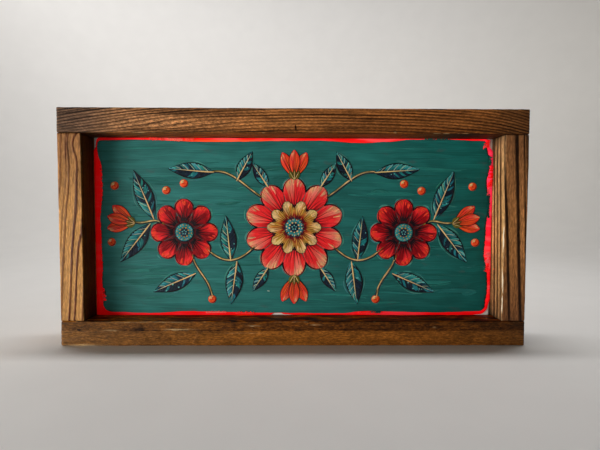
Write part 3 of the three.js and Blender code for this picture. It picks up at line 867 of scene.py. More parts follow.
def coral_paint(tint):
    """Neon coral: deeper where it is thin, pink along the right side and orange in the middle of the top.
    Painted shade darkens it along the left edge, and its emission is painted light.
    """
    graph, place = shader("neon_coral_paint")
    bristles, laps = brush_marks(graph, place, 22.0)
    x, y, z = graph.parts(place)
    load = graph.smooth(bristles * 0.5 + laps * 0.5, 0.36, 0.56)
    colour = graph.mix(scaled(tint, 0.82, 0.4, 0.4), tint, load)
    pale = graph.smooth(bristles * 0.4 + laps, 0.68, 0.86)
    colour = graph.mix(colour, (255, 92, 96), pale * 0.55)
    pink = near(graph, x, z, 157.5, 127.0, 6.0, 36.0) * (0.35 + bristles * 0.7)
    colour = graph.mix(colour, (255, 56, 104), pink)
    orange = near(graph, x, z, -48.0, 160.0, 58.0, 5.0) * graph.smooth(z, 161.0, 158.5)
    colour = graph.mix(colour, (255, 96, 44), orange * 0.8)
    # Painted shade: a deeper, darker red along the left edge, where the stile's shade falls.
    colour = graph.mix(colour, scaled(tint, 1.0, 0.2, 0.2), graph.smooth(x, -146.0, -153.0) * 0.8)
    colour = graph.times(colour, (0.92, 0.36, 0.5, 1.0), graph.smooth(z, 30.0, 22.0))
    # Emission as painted light, for the fluorescence of the neon paint, with painted shade: weak on the
    # left where the stile's shade falls, stronger on the right and along the top.
    lit = graph.smooth(x, -152.0, -110.0) * 0.58 + 0.4 + graph.smooth(x, 146.0, 154.0) * 0.5
    lit = lit + graph.smooth(z, 153.0, 157.0) * graph.smooth(x, -150.0, -110.0) * 0.4
    return surface(
        graph, {"Specular IOR Level": PAINT_GLOSS, "Emission Strength": 0.38}, Base_Color=colour,
        Emission_Color=graph.times(colour, lit), Roughness=0.36 + bristles * 0.2,
        Normal=bump(graph, bristles * 0.7 + laps * 0.5, 0.18),
    )


def teal_paint(tint):
    """Deep teal in level strokes, with dark laps and thin smudges of red. Painted light: paler and greyer to
    the left, darker to the right and brighter at the upper right.
    """
    graph, place = shader("teal_paint")
    bristles, laps = brush_marks(graph, place)
    x, y, z = graph.parts(place)
    across = x / (BOARD_SIZE.x / MM) + 0.5
    # Painted light: paler and greyer to the left, darker to the right.
    base = graph.mix(scaled(tint, 2.5, 1.5, 1.66), scaled(tint, 0.3, 0.7, 0.74), across)
    patch = graph.noise((x / 46, z / 17, 1.0), detail=2.0)
    tone = (0.82 + graph.smooth(bristles, 0.3, 0.7) * 0.3) * (0.86 + graph.smooth(laps, 0.35, 0.65) * 0.24)
    # Painted light: brighter towards the upper right.
    upper_right = graph.smooth(z, 105.0, 160.0) * graph.smooth(x, -20.0, 130.0)
    colour = graph.times(base, tone * (0.72 + patch * 0.56) * (1 + upper_right * 0.34))
    haze = graph.smooth(graph.noise((x / 18, z / 7, 7.0), detail=3.0), 0.6, 0.78)
    colour = graph.mix(colour, (92, 72, 76), haze * 0.34)
    pale = graph.smooth(bristles, 0.62, 0.8) * graph.smooth(laps, 0.5, 0.7)
    colour = graph.mix(colour, (96, 150, 140), pale * 0.5)
    return surface(
        graph, {"Specular IOR Level": PAINT_GLOSS}, Base_Color=colour, Roughness=0.36 + bristles * 0.22,
        Normal=bump(graph, bristles * 0.8 + laps * 0.6, 0.22),
    )


def primer_paint(tint):
    """White primer, brushed thin, a little greyer in the low parts of its marks."""
    graph, place = shader("white_primer")
    bristles, laps = brush_marks(graph, place, 15.0)
    colour = graph.mix(scaled(tint, 0.94, 0.92, 0.9), tint, bristles * 0.5 + laps * 0.5)
    return surface(
        graph, {"Specular IOR Level": PRIMER_GLOSS}, Base_Color=colour, Roughness=0.6 + bristles * 0.15,
        Normal=bump(graph, bristles, 0.15),
    )


# ---------------------------------------------------------------- brush strokes


def bezier(points, t):
    """Points at the shares `t` of a Bezier curve of any order."""
    rows = [np.outer(np.ones_like(t), point) for point in points]
    share = t[:, None]
    while len(rows) > 1:
        rows = [a * (1 - share) + b * share for a, b in zip(rows, rows[1:])]
    return rows[0]


THIN, FULL = 0.03, 0.05  # the body of a fine line, and of a full brush


class Brush:
    """Strokes and dots of one kind of form. Places are millimetres from the board's middle, as x and z.
    A mark's `lift` is how far it lies above the teal, its `body` is how thick its paint is, and `vary` is
    how far its colour strays."""

    def __init__(self, seed):
        self.rng = np.random.default_rng(seed)
        self.marks = []

    def tones(self, tints, count, vary):
        """Colours along a stroke, blended from an even row of tints and a little off the palette."""
        tints = np.array([tint[:3] for tint in tints], dtype=float)
        at = np.linspace(0, len(tints) - 1, count)
        row = np.stack([np.interp(at, np.arange(len(tints)), tints[:, part]) for part in range(3)], axis=1)
        light = 1 + self.rng.normal(0, vary)
        return np.clip(row * light * (1 + self.rng.normal(0, vary / 2, 3)), 0.0, 1.0)

    def mark(self, line, wide, tints, lift, body, vary=0.1):
        """Paint of the given widths at each point of a line."""
        line = np.array(line, dtype=float)
        count = len(line)
        self.marks.append(SimpleNamespace(
            line=line, count=count, wide=np.broadcast_to(wide, count), lift=lift, body=body,
            tints=self.tones(tints, count, vary),
        ))

    def stroke(self, controls, widths, tints, lift, body, vary=0.1, points=10):
        """A stroke that bends as a Bezier curve does, with round ends and its widths at even steps."""
        t = (1 - np.cos(np.linspace(0, np.pi, points))) / 2
        wide = np.interp(t, np.linspace(0, 1, len(widths)), widths)
        ends = np.sqrt(np.clip(1 - np.abs(2 * t - 1) ** 8, 0.03, 1))
        self.mark(bezier(controls, t), wide * ends, tints, lift, body, vary)

    def dot(self, place, size, tint, lift, body):
        """A round touch of the brush's tip."""
        self.mark([place], size, [tint], lift, body, 0.06)

    def paths(self, name):
        """The marks as a mesh of wires and loose points that carry what the tree needs of them."""
        counts = [mark.count for mark in self.marks]
        starts = np.cumsum([0, *counts[:-1]])

        def each(fact):
            """One number of every mark, at each of its points."""
            return np.repeat([float(fact(mark)) for mark in self.marks], counts)

        line = np.concatenate([mark.line for mark in self.marks])
        places = np.stack([
            BOARD_MIDDLE.x + line[:, 0] * MM, TEAL_FACE - each(lambda mark: mark.lift) * MM,
            BOARD_MIDDLE.z + line[:, 1] * MM,
        ], axis=1)
        edges = [(start + step, start + step + 1) for start, count in zip(starts, counts)
                 for step in range(count - 1)]
        mesh = bpy.data.meshes.new(f"{name}_paths")
        mesh.from_pydata(places.tolist(), edges, [])
        facts = {
            "width": np.concatenate([mark.wide for mark in self.marks]) * MM,
            "lift": places[:, 1],
            "body": each(lambda mark: mark.body) * MM,
            "lot": np.repeat(np.arange(len(counts)), counts),
            "single": each(lambda mark: mark.count == 1),
        }
        for key, values in facts.items():
            fact = mesh.attributes.new(key, "FLOAT", "POINT")
            fact.data.foreach_set("value", values.astype(np.float32))
        tints = np.concatenate([mark.tints for mark in self.marks])
        rgba = np.concatenate([tints, np.ones((len(tints), 1))], axis=1).astype(np.float32)
        mesh.attributes.new("tint", "FLOAT_COLOR", "POINT").data.foreach_set("color", rgba.ravel())
        return mesh


STROKE_SIDES = 7
DOT_SIDES = 14
CELL, MARGIN = 0.92, 0.04  # the share of its cell in the map that a mark fills, and the gap around it


def stroke_tree(material):
    """Sweeps a low dome along each wire, as wide and thick as its paint, and sets one on each point."""
    shape = Shape("stroke_shape", Sides=("Int", STROKE_SIDES), Columns=("Int", 10))
    paths = shape.given("Geometry")
    single, width, lift, body, lot = (shape.named(key) for key in ("single", "width", "lift", "body", "lot"))

    curve = shape.field("MeshToCurve", None, {"Mesh": paths})
    curve = shape.field("SetCurveNormal", {"mode": "FREE"}, {"Curve": curve, "Normal": (0.0, -1.0, 0.0)})
    curve = shape.store(curve, "along", shape.field("SplineParameter", output="Factor"))
    sides = shape.given("Sides")
    ring = shape.field("CurvePrimitiveCircle", None, {"Resolution": sides})
    share = shape.field("InputIndex") / (sides - 1)
    turn = share * math.pi
    half_round = shape.vector(shape.math("SINE", turn), shape.math("COSINE", turn) * -1.0, 0.0)
    dome = shape.store(shape.move(ring, half_round), "across", share)
    swept = shape.field("CurveToMesh", None, {
        "Curve": curve, "Profile Curve": dome, "Scale": width * 0.5, "Fill Caps": True,
    })
    x, y, z = shape.parts(shape.field("InputPosition"))
    rise = (y - lift) / shape.math("MAXIMUM", width * 0.5, 1e-6)
    swept = shape.move(swept, shape.vector(x, lift + rise * body, z))

    ball = shape.field("MeshUVSphere", None, {"Segments": DOT_SIDES, "Rings": DOT_SIDES // 2, "Radius": 1.0})
    ball_x, ball_y = shape.parts(shape.field("InputPosition"))[:2]
    ball = shape.store(ball, "along", ball_x * 0.5 + 0.5)
    ball = shape.store(ball, "across", ball_y * 0.5 + 0.5)
    points = shape.field("MeshToPoints", None, {"Mesh": paths, "Selection": single > 0.5})
    lying = shape.vector(math.pi / 2, shape.random(lot) * math.tau, 0.0)
    low = shape.vector(width * 0.5, width * 0.5, body)
    dots = shape.field("InstanceOnPoints", None, {
        "Points": points, "Instance": ball, "Rotation": lying, "Scale": low,
    })
    dots = shape.field("RealizeInstances", None, {"Geometry": dots})

    # Each mark has a cell of its own in the map.
    columns = shape.given("Columns")
    column = shape.math("FLOORED_MODULO", lot, columns)
    row = shape.math("FLOOR", (lot + 0.5) / columns)
    u = (column + shape.named("along") * CELL + MARGIN) / columns
    v = (row + shape.named("across") * CELL + MARGIN) / columns
    mapped = shape.store(shape.join(swept, dots), "OFBake", shape.vector(u, v, 0.0), "FLOAT2", "CORNER")
    return shape.finish(mapped, material)


def artist_paint(name, glow=0.0):
    """Paint from the tints that the marks carry, streaked by the bristles along each mark. Neon paint has a
    little emission, painted light that stands for its fluorescence."""
    graph, place = shader(name)
    tint = graph.node("ShaderNodeAttribute", {"attribute_name": "tint"}, output="Color")
    along, across, lot, width = (
        graph.node("ShaderNodeAttribute", {"attribute_name": key}, output="Fac")
        for key in ("along", "across", "lot", "width")
    )
    lines = across * (width / MM) * 2.6
    bristles = graph.noise((along * 2.5 + lot * 3.7, lines, lot * 1.3), detail=2.0, roughness=0.6)
    streak = graph.smooth(bristles, 0.3, 0.7)
    load = graph.noise((along * 1.5 + lot, across, lot * 2.1), detail=1.0)
    colour = graph.times(tint, 0.66 + streak * 0.46 + load * 0.2)
    dry = graph.smooth(bristles, 0.62, 0.74)
    colour = graph.mix(colour, (1.0, 0.86, 0.74, 1.0), dry * 0.07)
    return surface(
        graph, {"Specular IOR Level": STROKE_GLOSS, "Emission Strength": glow}, Base_Color=colour,
        Emission_Color=colour, Roughness=0.4 + streak * 0.18, Normal=bump(graph, streak, 0.05),
    )


def dress(piece, slot, *nodes):
    """Hands a finished piece to the frame, in place of the solids that it stands for."""
    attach(piece, ROOT)
    if nodes:
        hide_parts(*nodes)


def painted(name, brush, material, slot, *nodes):
    """A brush's marks as one piece, in place of the solids that it covers."""
    columns = math.ceil(math.sqrt(len(brush.marks)))
    piece = grown(name, stroke_tree(material), brush.paths(name), Sides=STROKE_SIDES, Columns=columns)
    dress(piece, slot, *nodes)


# ---------------------------------------------------------------- the garland


def spoke(centre, radius, degrees):
    """The place at a radius from a centre, and at an angle from its top towards the left."""
    turn = math.radians(degrees)
    return np.array((centre[0] - radius * math.sin(turn), centre[1] + radius * math.cos(turn)))


class Flower:
    """A blossom of round petals, with notches between them. `first` is the angle of one petal's middle."""

    def __init__(self, x, z, petals, outer, notch, first=0):
        self.centre = (x, z)
        self.petals, self.outer, self.notch, self.first = petals, outer, notch, first

    def at(self, radius, degrees):
        return spoke(self.centre, radius, degrees)

    def rim(self, degrees):
        """The blossom's radius at an angle."""
        fullness = abs(math.cos(math.radians(self.petals * (degrees - self.first) / 2))) ** ROUNDNESS
        return self.outer - self.notch * (1 - fullness)

    def outline(self, angles, off):
        """The rim at those angles, so far outside it."""
        return [self.at(self.rim(angle) + off, angle) for angle in angles]


# The layout that the solids have, in millimetres from the board's middle. Angles are in degrees.
ROUNDNESS = 0.7  # of the petals' tips: 1 is a cosine, and less is rounder
HEART = Flower(0, 0, petals=10, outer=40, notch=10)
CROWN = Flower(0, 0, petals=10, outer=22, notch=6, first=18)
SIDES = [Flower(x, -4, petals=8, outer=27, notch=7.5) for x in (88, -88)]
HEART_DISC, SIDE_DISC = 8, 7.5
STEM_WIDTH = 2.4
STEMS = {
    "link": ((30, -14), (46, -31), (58, -30), (72, -16)),
    "outer": ((104, 2), (113, 9), (118, 1), (128, 4)),
    "upper": ((26, 24), (40, 32), (50, 47), (66, 44)),
    "lower": ((82, -22), (80, -36), (68, -40), (66, -58)),
}
LEAVES = {  # root, direction of growth, length and width
    "rising": (51, -27, 84, 37, 12.5), "sinking": (46, -27, -82, 36, 13.5), "high": (64, 44, 4, 37, 12.5),
    "tall": (46, 37, 118, 27, 10.5), "crest": (112, 6, 68, 43, 14), "trailing": (115, 3, -52, 40, 14),
    "low": (79, -37, -24, 38, 13),
}
SPRIGS = ((0, 0, 57, 24, 9, 38), (0, 0, -57, 24, 9, 38))  # and how far from the root each starts
BUDS = ((127, 3, 14, 23, 9.5), (0, 38, 90, 24, 9), (-127, 3, 166, 23, 9.5), (0, -38, -90, 24, 9))
BUD_SPREAD = 24  # between the petals of a bud
BERRY_RADIUS = 3.4
BERRIES = {
    "high": (88, 35), "far_high": (102, 29.5), "tip_high": (143, 33), "tip_low": (146, -12), "low": (66, -58),
}


def leaf_side(t):
    """The share of its width that a leaf has at a share of its length."""
    return np.sin(np.pi * np.clip(t, 0, 1) ** 0.9) ** 1.1


def petal_side(t):
    """The same for a bud's petal, which is widest further out."""
    return np.sin(np.pi * np.clip(t, 0, 1) ** 1.5) ** 0.75


class Blade:
    """A leaf or petal: places by the share of its length and of its half width there."""

    def __init__(self, x, z, toward, length, width, side, start=0.0):
        self.root = np.array((x, z), dtype=float)
        self.axis = np.array((math.cos(math.radians(toward)), math.sin(math.radians(toward))))
        self.left = np.array((-self.axis[1], self.axis[0]))
        self.length, self.width, self.side, self.start = length, width, side, start

    def at(self, t, v=0.0):
        half = self.width / 2 * self.side(np.array(t, dtype=float))
        return self.root + self.axis * (self.start + self.length * t) + self.left * (half * v)

    def line(self, shares, v=0.0):
        """Places along the blade at one share of its half width."""
        return [self.at(t, v) for t in shares]

    def widths(self, count=16):
        """The middle line, and the blade's width along it."""
        t = np.linspace(0.01, 0.99, count)
        return self.line(t), self.width * self.side(t)


def mirrored(rows):
    """Rows of x, z, direction and more on the right half, and then the same on the left half."""
    for way in (1, -1):
        for x, z, toward, *more in rows:
            yield way * x, z, toward if way > 0 else 180 - toward, *more


def sides_first(reach, count):
    """Even shares from one side to the other, the outer ones first."""
    return sorted(np.linspace(-reach, reach, count), key=lambda share: -abs(share))


def paint_petals(brush, flower, core, lift, root, body, light, tip, dark):
    """Petals from the core to the rim: a broad stroke each, a fan of bristly ones, veins and contours."""
    rng = brush.rng
    step = 360 / flower.petals
    reach = flower.outer - core
    fan = round(flower.outer * math.radians(step) / 2.1)
    for petal in range(flower.petals):
        middle = flower.first + petal * step

        def place(radius, share, spread=0.5):
            """A place on this petal, at a share of the way from its middle to its side."""
            return flower.at(radius, middle + share * step * spread)

        # The broad stroke, as wide as the petal is at each radius.
        radii = np.linspace(core - 2, flower.outer - 0.3, 24)
        fullness = np.clip(1 - (flower.outer - radii) / flower.notch, 0, 1) ** (1 / ROUNDNESS)
        broad = 2 * radii * np.tan(np.arccos(fullness) * 2 / flower.petals) * 0.97
        line = [flower.at(radius, middle) for radius in radii]
        brush.mark(line, broad, (root, body, body, light), lift, THIN)
        # The fan, from the sides to the middle.
        for share in sides_first(0.9, fan):
            share = share + rng.normal(0, 0.02)
            end = flower.rim(middle + share * step / 2) - 0.7 + rng.normal(0, 0.25)
            begin = core + abs(rng.normal(0, 1.5)) + 1
            lit = share > 0
            tones = (root, body, light if lit else body, tip if lit else light)
            if abs(share) > 0.72:
                tones = (root, root, body, light if lit else body)
            controls = (place(begin, share, 0.3), place((begin + end) / 2, share, 0.42), place(end, share))
            over = lift + 0.05 + 0.04 * (1 - abs(share))
            brush.stroke(controls, (1.1, 2.2, 2.5, 1.9), tones, over, 0.06, 0.13)
        # Loose light touches near the tip.
        for touch in range(4):
            share = rng.uniform(-0.55, 0.62)
            angle = middle + share * step / 2
            end = flower.rim(angle) - rng.uniform(0.8, 2.5)
            begin = end - reach * rng.uniform(0.14, 0.26)
            controls = (flower.at(begin, angle - share * 3), flower.at(end, angle))
            brush.stroke(controls, (0.5, 1.2, 0.8), (light, tip), lift + 0.14, FULL, 0.1, points=6)
        # Dark roots, then fine veins.
        for share in np.linspace(-0.7, 0.7, 5):
            far = core + reach * (0.34 - 0.1 * abs(share)) * rng.uniform(0.8, 1.2)
            controls = (place(core, share, 0.36), place(far, share, 0.42))
            brush.stroke(controls, (1.5, 1.0, 0.3), (dark, root), lift + 0.15, 0.04, points=6)
        for share in (-0.42, 0.0, 0.42):
            far = core + reach * (0.72 - 0.2 * abs(share)) * rng.uniform(0.88, 1.08)
            bend = flower.at((core + far) / 2, middle + share * step * 0.3 + rng.normal(0, 0.5))
            controls = (place(core, share, 0.3), bend, place(far, share))
            brush.stroke(controls, (0.7, 0.5, 0.2), (dark, root), lift + 0.19, THIN, points=8)
        # The contour, in two lines that meet at the tip.
        for side in (-1, 1):
            angles = middle + side * step / 2 * np.linspace(1.0, rng.uniform(-0.05, 0.15), 12)
            wide = np.interp(np.linspace(0, 1, 12), (0, 0.3, 0.75, 1), (1.2, 0.75, 0.5, 0.12))
            wide = wide * rng.uniform(0.7, 1.15)
            brush.mark(flower.outline(angles, -0.35), wide, (dark,), lift + 0.2, THIN)


def paint_leaf(brush, blade, lift, dark, deep, body, light, rib):
    """A leaf in two halves, one lit: feather strokes from the rib, veins, speckles and a pale rib."""
    rng = brush.rng
    line, wide = blade.widths()
    brush.mark(line, wide, (dark, deep, deep, dark), lift, THIN)
    lit = 1 if blade.left[1] - 0.5 * blade.left[0] > 0 else -1
    count = round(blade.length / 2.6)
    for side in (-lit, lit):
        for t in np.linspace(0.02, 0.86, count):
            end = min(t + 0.15 + rng.normal(0, 0.012), 0.97)
            controls = (blade.at(t, side * 0.04), blade.at((t + end) / 2 - 0.02, side * 0.6),
                        blade.at(end, side * (0.93 + rng.normal(0, 0.03))))
            if side == lit:
                tones = (deep, body, light) if rng.uniform() > 0.3 else (deep, deep, body)
            else:
                tones = (dark, deep, dark) if rng.uniform() > 0.35 else (dark, body, deep)
            brush.stroke(controls, (1.5, 2.0, 0.8), tones, lift + 0.06, 0.06, 0.16, points=8)
    for t in np.linspace(0.12, 0.7, 5):
        end = t + 0.13
        controls = (blade.at(t, lit * 0.05), blade.at(t + 0.06, lit * 0.5), blade.at(end, lit * 0.8))
        brush.stroke(controls, (0.55, 0.4, 0.2), (light, rib), lift + 0.14, THIN, points=6)
    bow = rng.normal(0, 0.06)
    controls = (blade.at(0.0), blade.at(0.3, bow), blade.at(0.65, -bow), blade.at(0.93))
    brush.stroke(controls, (1.2, 0.9, 0.6, 0.25), (rib, rib, light), lift + 0.16, FULL, points=12)
    for side in (-1, 1):
        t = np.linspace(rng.uniform(0.02, 0.1), rng.uniform(0.9, 0.98), 14)
        swell = 0.35 + 0.45 * np.sin(np.pi * np.linspace(0, 1, 14)) * (1.3 if side != lit else 0.7)
        brush.mark(blade.line(t, side * 0.99), swell, (dark,), lift + 0.15, THIN)
    for speck in range(round(blade.length / 3)):
        place = blade.at(rng.uniform(0.12, 0.75), -lit * rng.uniform(0.1, 0.8))
        brush.dot(place, rng.uniform(0.5, 1.2), dark if rng.uniform() > 0.25 else light, lift + 0.16, FULL)


def paint_bud(brush, x, z, toward, length, width, lift, root, body, light, tip, dark, green):
    """Three overlapping petals with dark rays, in a green cup."""
    rng = brush.rng
    for index in (0, 2, 1):
        blade = Blade(x, z, toward + BUD_SPREAD * (index - 1), length, width, petal_side)
        over = lift + (0.12 if index == 1 else 0.0)
        line, wide = blade.widths()
        brush.mark(line, wide, (root, body, light), over, 0.04)
        for share in sides_first(0.82, 6):
            end = 0.95 - 0.1 * share * share + rng.normal(0, 0.015)
            controls = (blade.at(0.1, share * 0.4), blade.at(0.5, share), blade.at(end, share * 0.9))
            tones = (root, body, light, tip) if share > 0 else (root, body, body, light)
            brush.stroke(controls, (0.8, 1.7, 1.3), tones, over + 0.04, FULL, 0.14, points=8)
        for share in np.linspace(-0.6, 0.6, 4):
            controls = (blade.at(0.08, share * 0.5), blade.at(rng.uniform(0.6, 0.85), share))
            brush.stroke(controls, (0.6, 0.4, 0.15), (dark, root), over + 0.1, THIN, points=6)
        for side in (-1, 1):
            t = np.linspace(0.08, rng.uniform(0.93, 0.99), 12)
            wide = np.interp(t, (0, 0.5, 1), (0.8, 0.5, 0.25))
            brush.mark(blade.line(t, side * 0.98), wide, (dark,), over + 0.1, THIN)
    for turn in (-30, 30, 0):
        cup = Blade(x, z, toward + turn, length * 0.36, width * 0.5, leaf_side)
        line, wide = cup.widths(10)
        brush.mark(line, wide, (green,), lift + 0.2, FULL)
        brush.stroke((cup.at(0.05), cup.at(0.85)), (0.5, 0.3), (tip,), lift + 0.25, THIN, points=5)


def paint_stem(brush, controls, lift, dark, body, light):
    """A dark stem with a lit line on its upper side, and short light dashes along that line."""
    points = np.array(controls, dtype=float)
    t = np.linspace(0, 1, 18)
    line = bezier(points, t)
    along = np.gradient(line, axis=0)
    out = np.stack([-along[:, 1], along[:, 0]], axis=1) / np.linalg.norm(along, axis=1)[:, None]
    out = out * np.where(out[:, 1] + 0.3 * out[:, 0] > 0, 1, -1)[:, None]
    brush.mark(line, STEM_WIDTH, (dark, body, dark), lift, FULL)
    brush.mark(line - out * 0.7, 0.7, (dark,), lift + 0.06, 0.04)
    brush.mark(line + out * 0.35, 0.9 + 0.2 * np.sin(t * 17), (body, light, body), lift + 0.07, FULL)
    for start in brush.rng.uniform(0.02, 0.9, 6):
        share = np.linspace(start, min(start + 0.09, 1), 5)
        dash = bezier(points, share) + np.array([out[int(s * 17)] for s in share]) * 0.45
        brush.mark(dash, (0.2, 0.5, 0.6, 0.4, 0.15), (light,), lift + 0.12, THIN)


def paint_disc(brush, centre, radius, lift, dark, body, light, seed_tint):
    """A blossom's eye: a ring of short strokes round a dark middle, with rows of seeds."""
    rng = brush.rng
    brush.dot(centre, 2 * radius, body, lift, 0.06)
    for turn in range(0, 360, 15):
        angle = turn + rng.normal(0, 2)
        far = radius * rng.uniform(0.86, 0.97)
        controls = (spoke(centre, radius * 0.42, angle), spoke(centre, far, angle))
        brush.stroke(controls, (0.8, 1.5, 0.9), (dark, body, light), lift + 0.05, FULL, 0.16, points=6)
    brush.dot(centre, radius * 0.95, dark, lift + 0.07, 0.08)
    for ring, count, size in ((0.78, 14, 0.13), (0.5, 9, 0.16)):
        for index in range(count):
            place = spoke(centre, radius * ring, 360 * index / count + ring * 40 + rng.normal(0, 2))
            brush.dot(place, radius * size * rng.uniform(0.8, 1.2), seed_tint, lift + 0.12, 0.1)
    for turn in range(0, 360, 72):
        brush.dot(spoke(centre, radius * 0.2, turn), radius * 0.13, light, lift + 0.14, 0.08)
    angles = np.linspace(0, 352, 40)
    line = [spoke(centre, radius - 0.25, angle) for angle in angles]
    brush.mark(line, 0.5 + 0.2 * np.sin(np.radians(angles)), (dark,), lift + 0.1, THIN)


def paint_berry(brush, x, z, lift, dark, body, light):
    """A round berry with a dark and a lit crescent, a highlight and a dark eye."""
    brush.dot((x, z), 2 * BERRY_RADIUS, body, lift, 0.14)
    crescents = ((np.linspace(150, 300, 12), 2.7, 0.9, dark), (np.linspace(-10, 100, 10), 2.2, 1.3, light))
    for angles, radius, wide, tint in crescents:
        line = [spoke((x, z), radius, angle) for angle in angles]
        swell = wide * np.sin(np.linspace(0.15, np.pi - 0.15, len(angles)))
        brush.mark(line, swell, (tint,), lift + 0.16, FULL)
    brush.dot((x - 0.9, z + 1.0), 1.3, light, lift + 0.2, 0.08)
    brush.dot((x, z - 0.1), 0.7, dark, lift + 0.2, 0.04)


# ---------------------------------------------------------------- the ground's loose strokes


CORAL_STEP, TEAL_STEP = -0.45, 0.5  # a dab that starts on the coral coat: its lift and its body

# Rows of bristle ends round the border, in millimetres from the board's middle: start, end, the way that
# they run, how far, how wide each is, and the tint.
CORAL_DABS = (
    ((155.8, 70.4), (155.2, 64.6), (-1.0, -0.1), 4.2, 1.3, (255, 26, 30)),
    ((154.4, 66.0), (151.6, 65.2), (-0.2, -1.0), 2.6, 1.0, (240, 60, 60)),
    ((158.8, 49.6), (158.6, 45.2), (-1.0, 0.0), 2.6, 1.2, (255, 28, 30)),
    ((158.7, 44.4), (158.5, 39.8), (-1.0, -0.1), 3.6, 1.1, (255, 22, 26)),
    ((158.5, 38.8), (158.2, 33.0), (-0.9, -0.4), 4.4, 0.9, (255, 30, 30)),
    ((156.4, 32.0), (155.6, 27.0), (-0.4, -1.0), 1.4, 0.7, (214, 74, 70)),
    ((157.4, -19.8), (157.0, -28.6), (-1.0, 0.0), 4.2, 1.4, (255, 86, 92)),
    ((157.0, -29.0), (156.6, -35.4), (-1.0, -0.1), 3.2, 1.0, (255, 30, 34)),
    ((-154.2, 49.6), (-153.6, 24.8), (1.0, 0.0), 1.3, 1.1, (232, 14, 20)),
    ((-153.4, -49.6), (-152.8, -59.4), (1.0, 0.0), 1.9, 1.1, (232, 14, 20)),
    ((-115.6, 70.6), (-103.4, 70.2), (0.1, -1.0), 1.7, 1.2, (255, 62, 52)),
    ((-100.8, 70.2), (-88.6, 69.6), (0.2, -1.0), 1.7, 1.1, (255, 110, 92)),
    ((-87.0, 70.0), (-80.0, 70.0), (0.3, -1.0), 1.5, 0.9, (250, 80, 60)),
    ((-47.0, -69.4), (-32.6, -69.8), (0.0, 1.0), 1.7, 1.1, (255, 40, 38)),
    ((-71.0, -68.9), (-54.8, -68.5), (0.6, 0.8), 1.1, 1.0, (255, 92, 86)),
    ((52.0, -69.4), (66.0, -69.2), (0.3, 1.0), 1.0, 1.0, (255, 30, 34)),
)
TEAL_DABS = (
    ((156.6, 57.6), (156.8, 50.2), (1.0, 0.0), 1.9, 1.0, (26, 92, 84)),
    # The dark row below is painted shade: the shadow line along the teal's right edge.
    ((157.0, 27.0), (156.6, 8.0), (1.0, 0.1), 0.7, 1.2, (14, 66, 60)),
    ((62.4, -69.0), (70.4, -68.8), (0.5, -1.0), 0.9, 0.9, (22, 86, 80)),
    ((-152.2, -51.4), (-152.2, -54.0), (-1.0, 0.0), 2.2, 0.9, (20, 66, 60)),
    ((104.0, 70.4), (124.0, 70.6), (0.2, 1.0), 0.9, 1.3, (30, 92, 84)),
)


def dab(brush, start, end, out, depth, wide, tint):
    """Bristle ends side by side from `start` to `end`, each pushed out by up to `depth`."""
    start, end, out = (np.array(part, dtype=float) for part in (start, end, out))
    count = max(2, round(np.linalg.norm(end - start) / (wide * 0.62)))
    tint = linear(tint)
    for share in (np.arange(count) + brush.rng.uniform(0.1, 0.9, count)) / count:
        root = start + (end - start) * share
        tip = root + out * depth * brush.rng.uniform(0.25, 1.0) + brush.rng.normal(0, 0.15, 2)
        bow = (root + tip) / 2 + brush.rng.normal(0, 0.2, 2)
        widths = (wide, wide * brush.rng.uniform(0.7, 1.1), wide * 0.55)
        body = TEAL_STEP + brush.rng.uniform(0.02, 0.1)
        brush.stroke((root - out * 0.8, bow, tip), widths, (tint,), CORAL_STEP, body, 0.12, points=7)


def field_strokes(brush, tint):
    """Level strokes of a wide brush, a little paler or darker than the field, and thin pale ones. Like the
    field, they carry painted light: paler and greyer to the left.
    """
    rng = brush.rng
    for index in range(150):
        x, z = rng.uniform(-146, 138), rng.uniform(-62, 64)
        reach = min(x + rng.uniform(12, 46), 148)
        bow = rng.normal(0, 1.2, 2)
        shade = rng.uniform(0.78, 1.3)
        # Painted light: paler and greyer to the left, as on the field.
        share = (x + 159) / 318
        falls = (1.6 - share, 1.25 - 0.4 * share, 1.3 - 0.4 * share)
        tone = [part * shade * fall for part, fall in zip(tint, falls)]
        controls = ((x, z), (x * 0.6 + reach * 0.4, z + bow[0]), (reach, z + bow[1]))
        wide = rng.uniform(0.5, 1.6) if index % 3 else rng.uniform(2.0, 4.2)
        brush.stroke(controls, (wide * 0.4, wide, wide, wide * 0.5), (tone,), 0.0, 0.025, 0.05, points=9)


def halo(brush, line, widths, tint):
    """Two broken pale touches beside a contour."""
    line = np.array(line)
    for touch in range(2):
        first = brush.rng.integers(0, max(1, len(line) - 5))
        last = min(len(line), first + brush.rng.integers(4, 8))
        piece = line[first:last] + brush.rng.normal(0, 0.25, 2)
        swell = np.sin(np.linspace(0.2, np.pi - 0.2, len(piece))) * brush.rng.uniform(*widths)
        brush.mark(piece, swell, (tint,), 0.0, 0.03, 0.15)


# ---------------------------------------------------------------- settings


def number(name, text, default, least=0.0, **more):
    return bpy.props.FloatProperty(name=name, description=text, default=default, min=least, **more)


def distance(name, text, default):
    return number(name, text, default, subtype="DISTANCE", unit="LENGTH")


def hue(name, text, default):
    return bpy.props.FloatVectorProperty(
        name=name, description=text, default=linear(default), size=4, min=0.0, max=1.0, subtype="COLOR"
    )


class PAINTING_PG_frame(bpy.types.PropertyGroup):
    edge: distance("Eased edge", "Mean radius of the sticks' rubbed long edges", 0.001)
    relief: distance("Grain relief", "How far soft early wood lies below late wood", 0.00012)
    wear: distance("Dents", "Depth of the deepest dents", 0.0004)
    stain: hue("Stain tint", "Tint over the stained wood; white leaves it as it is", (255, 255, 255))
    metal: hue("Hanger metal", "Zinc of the sawtooth hanger", (206, 206, 204))


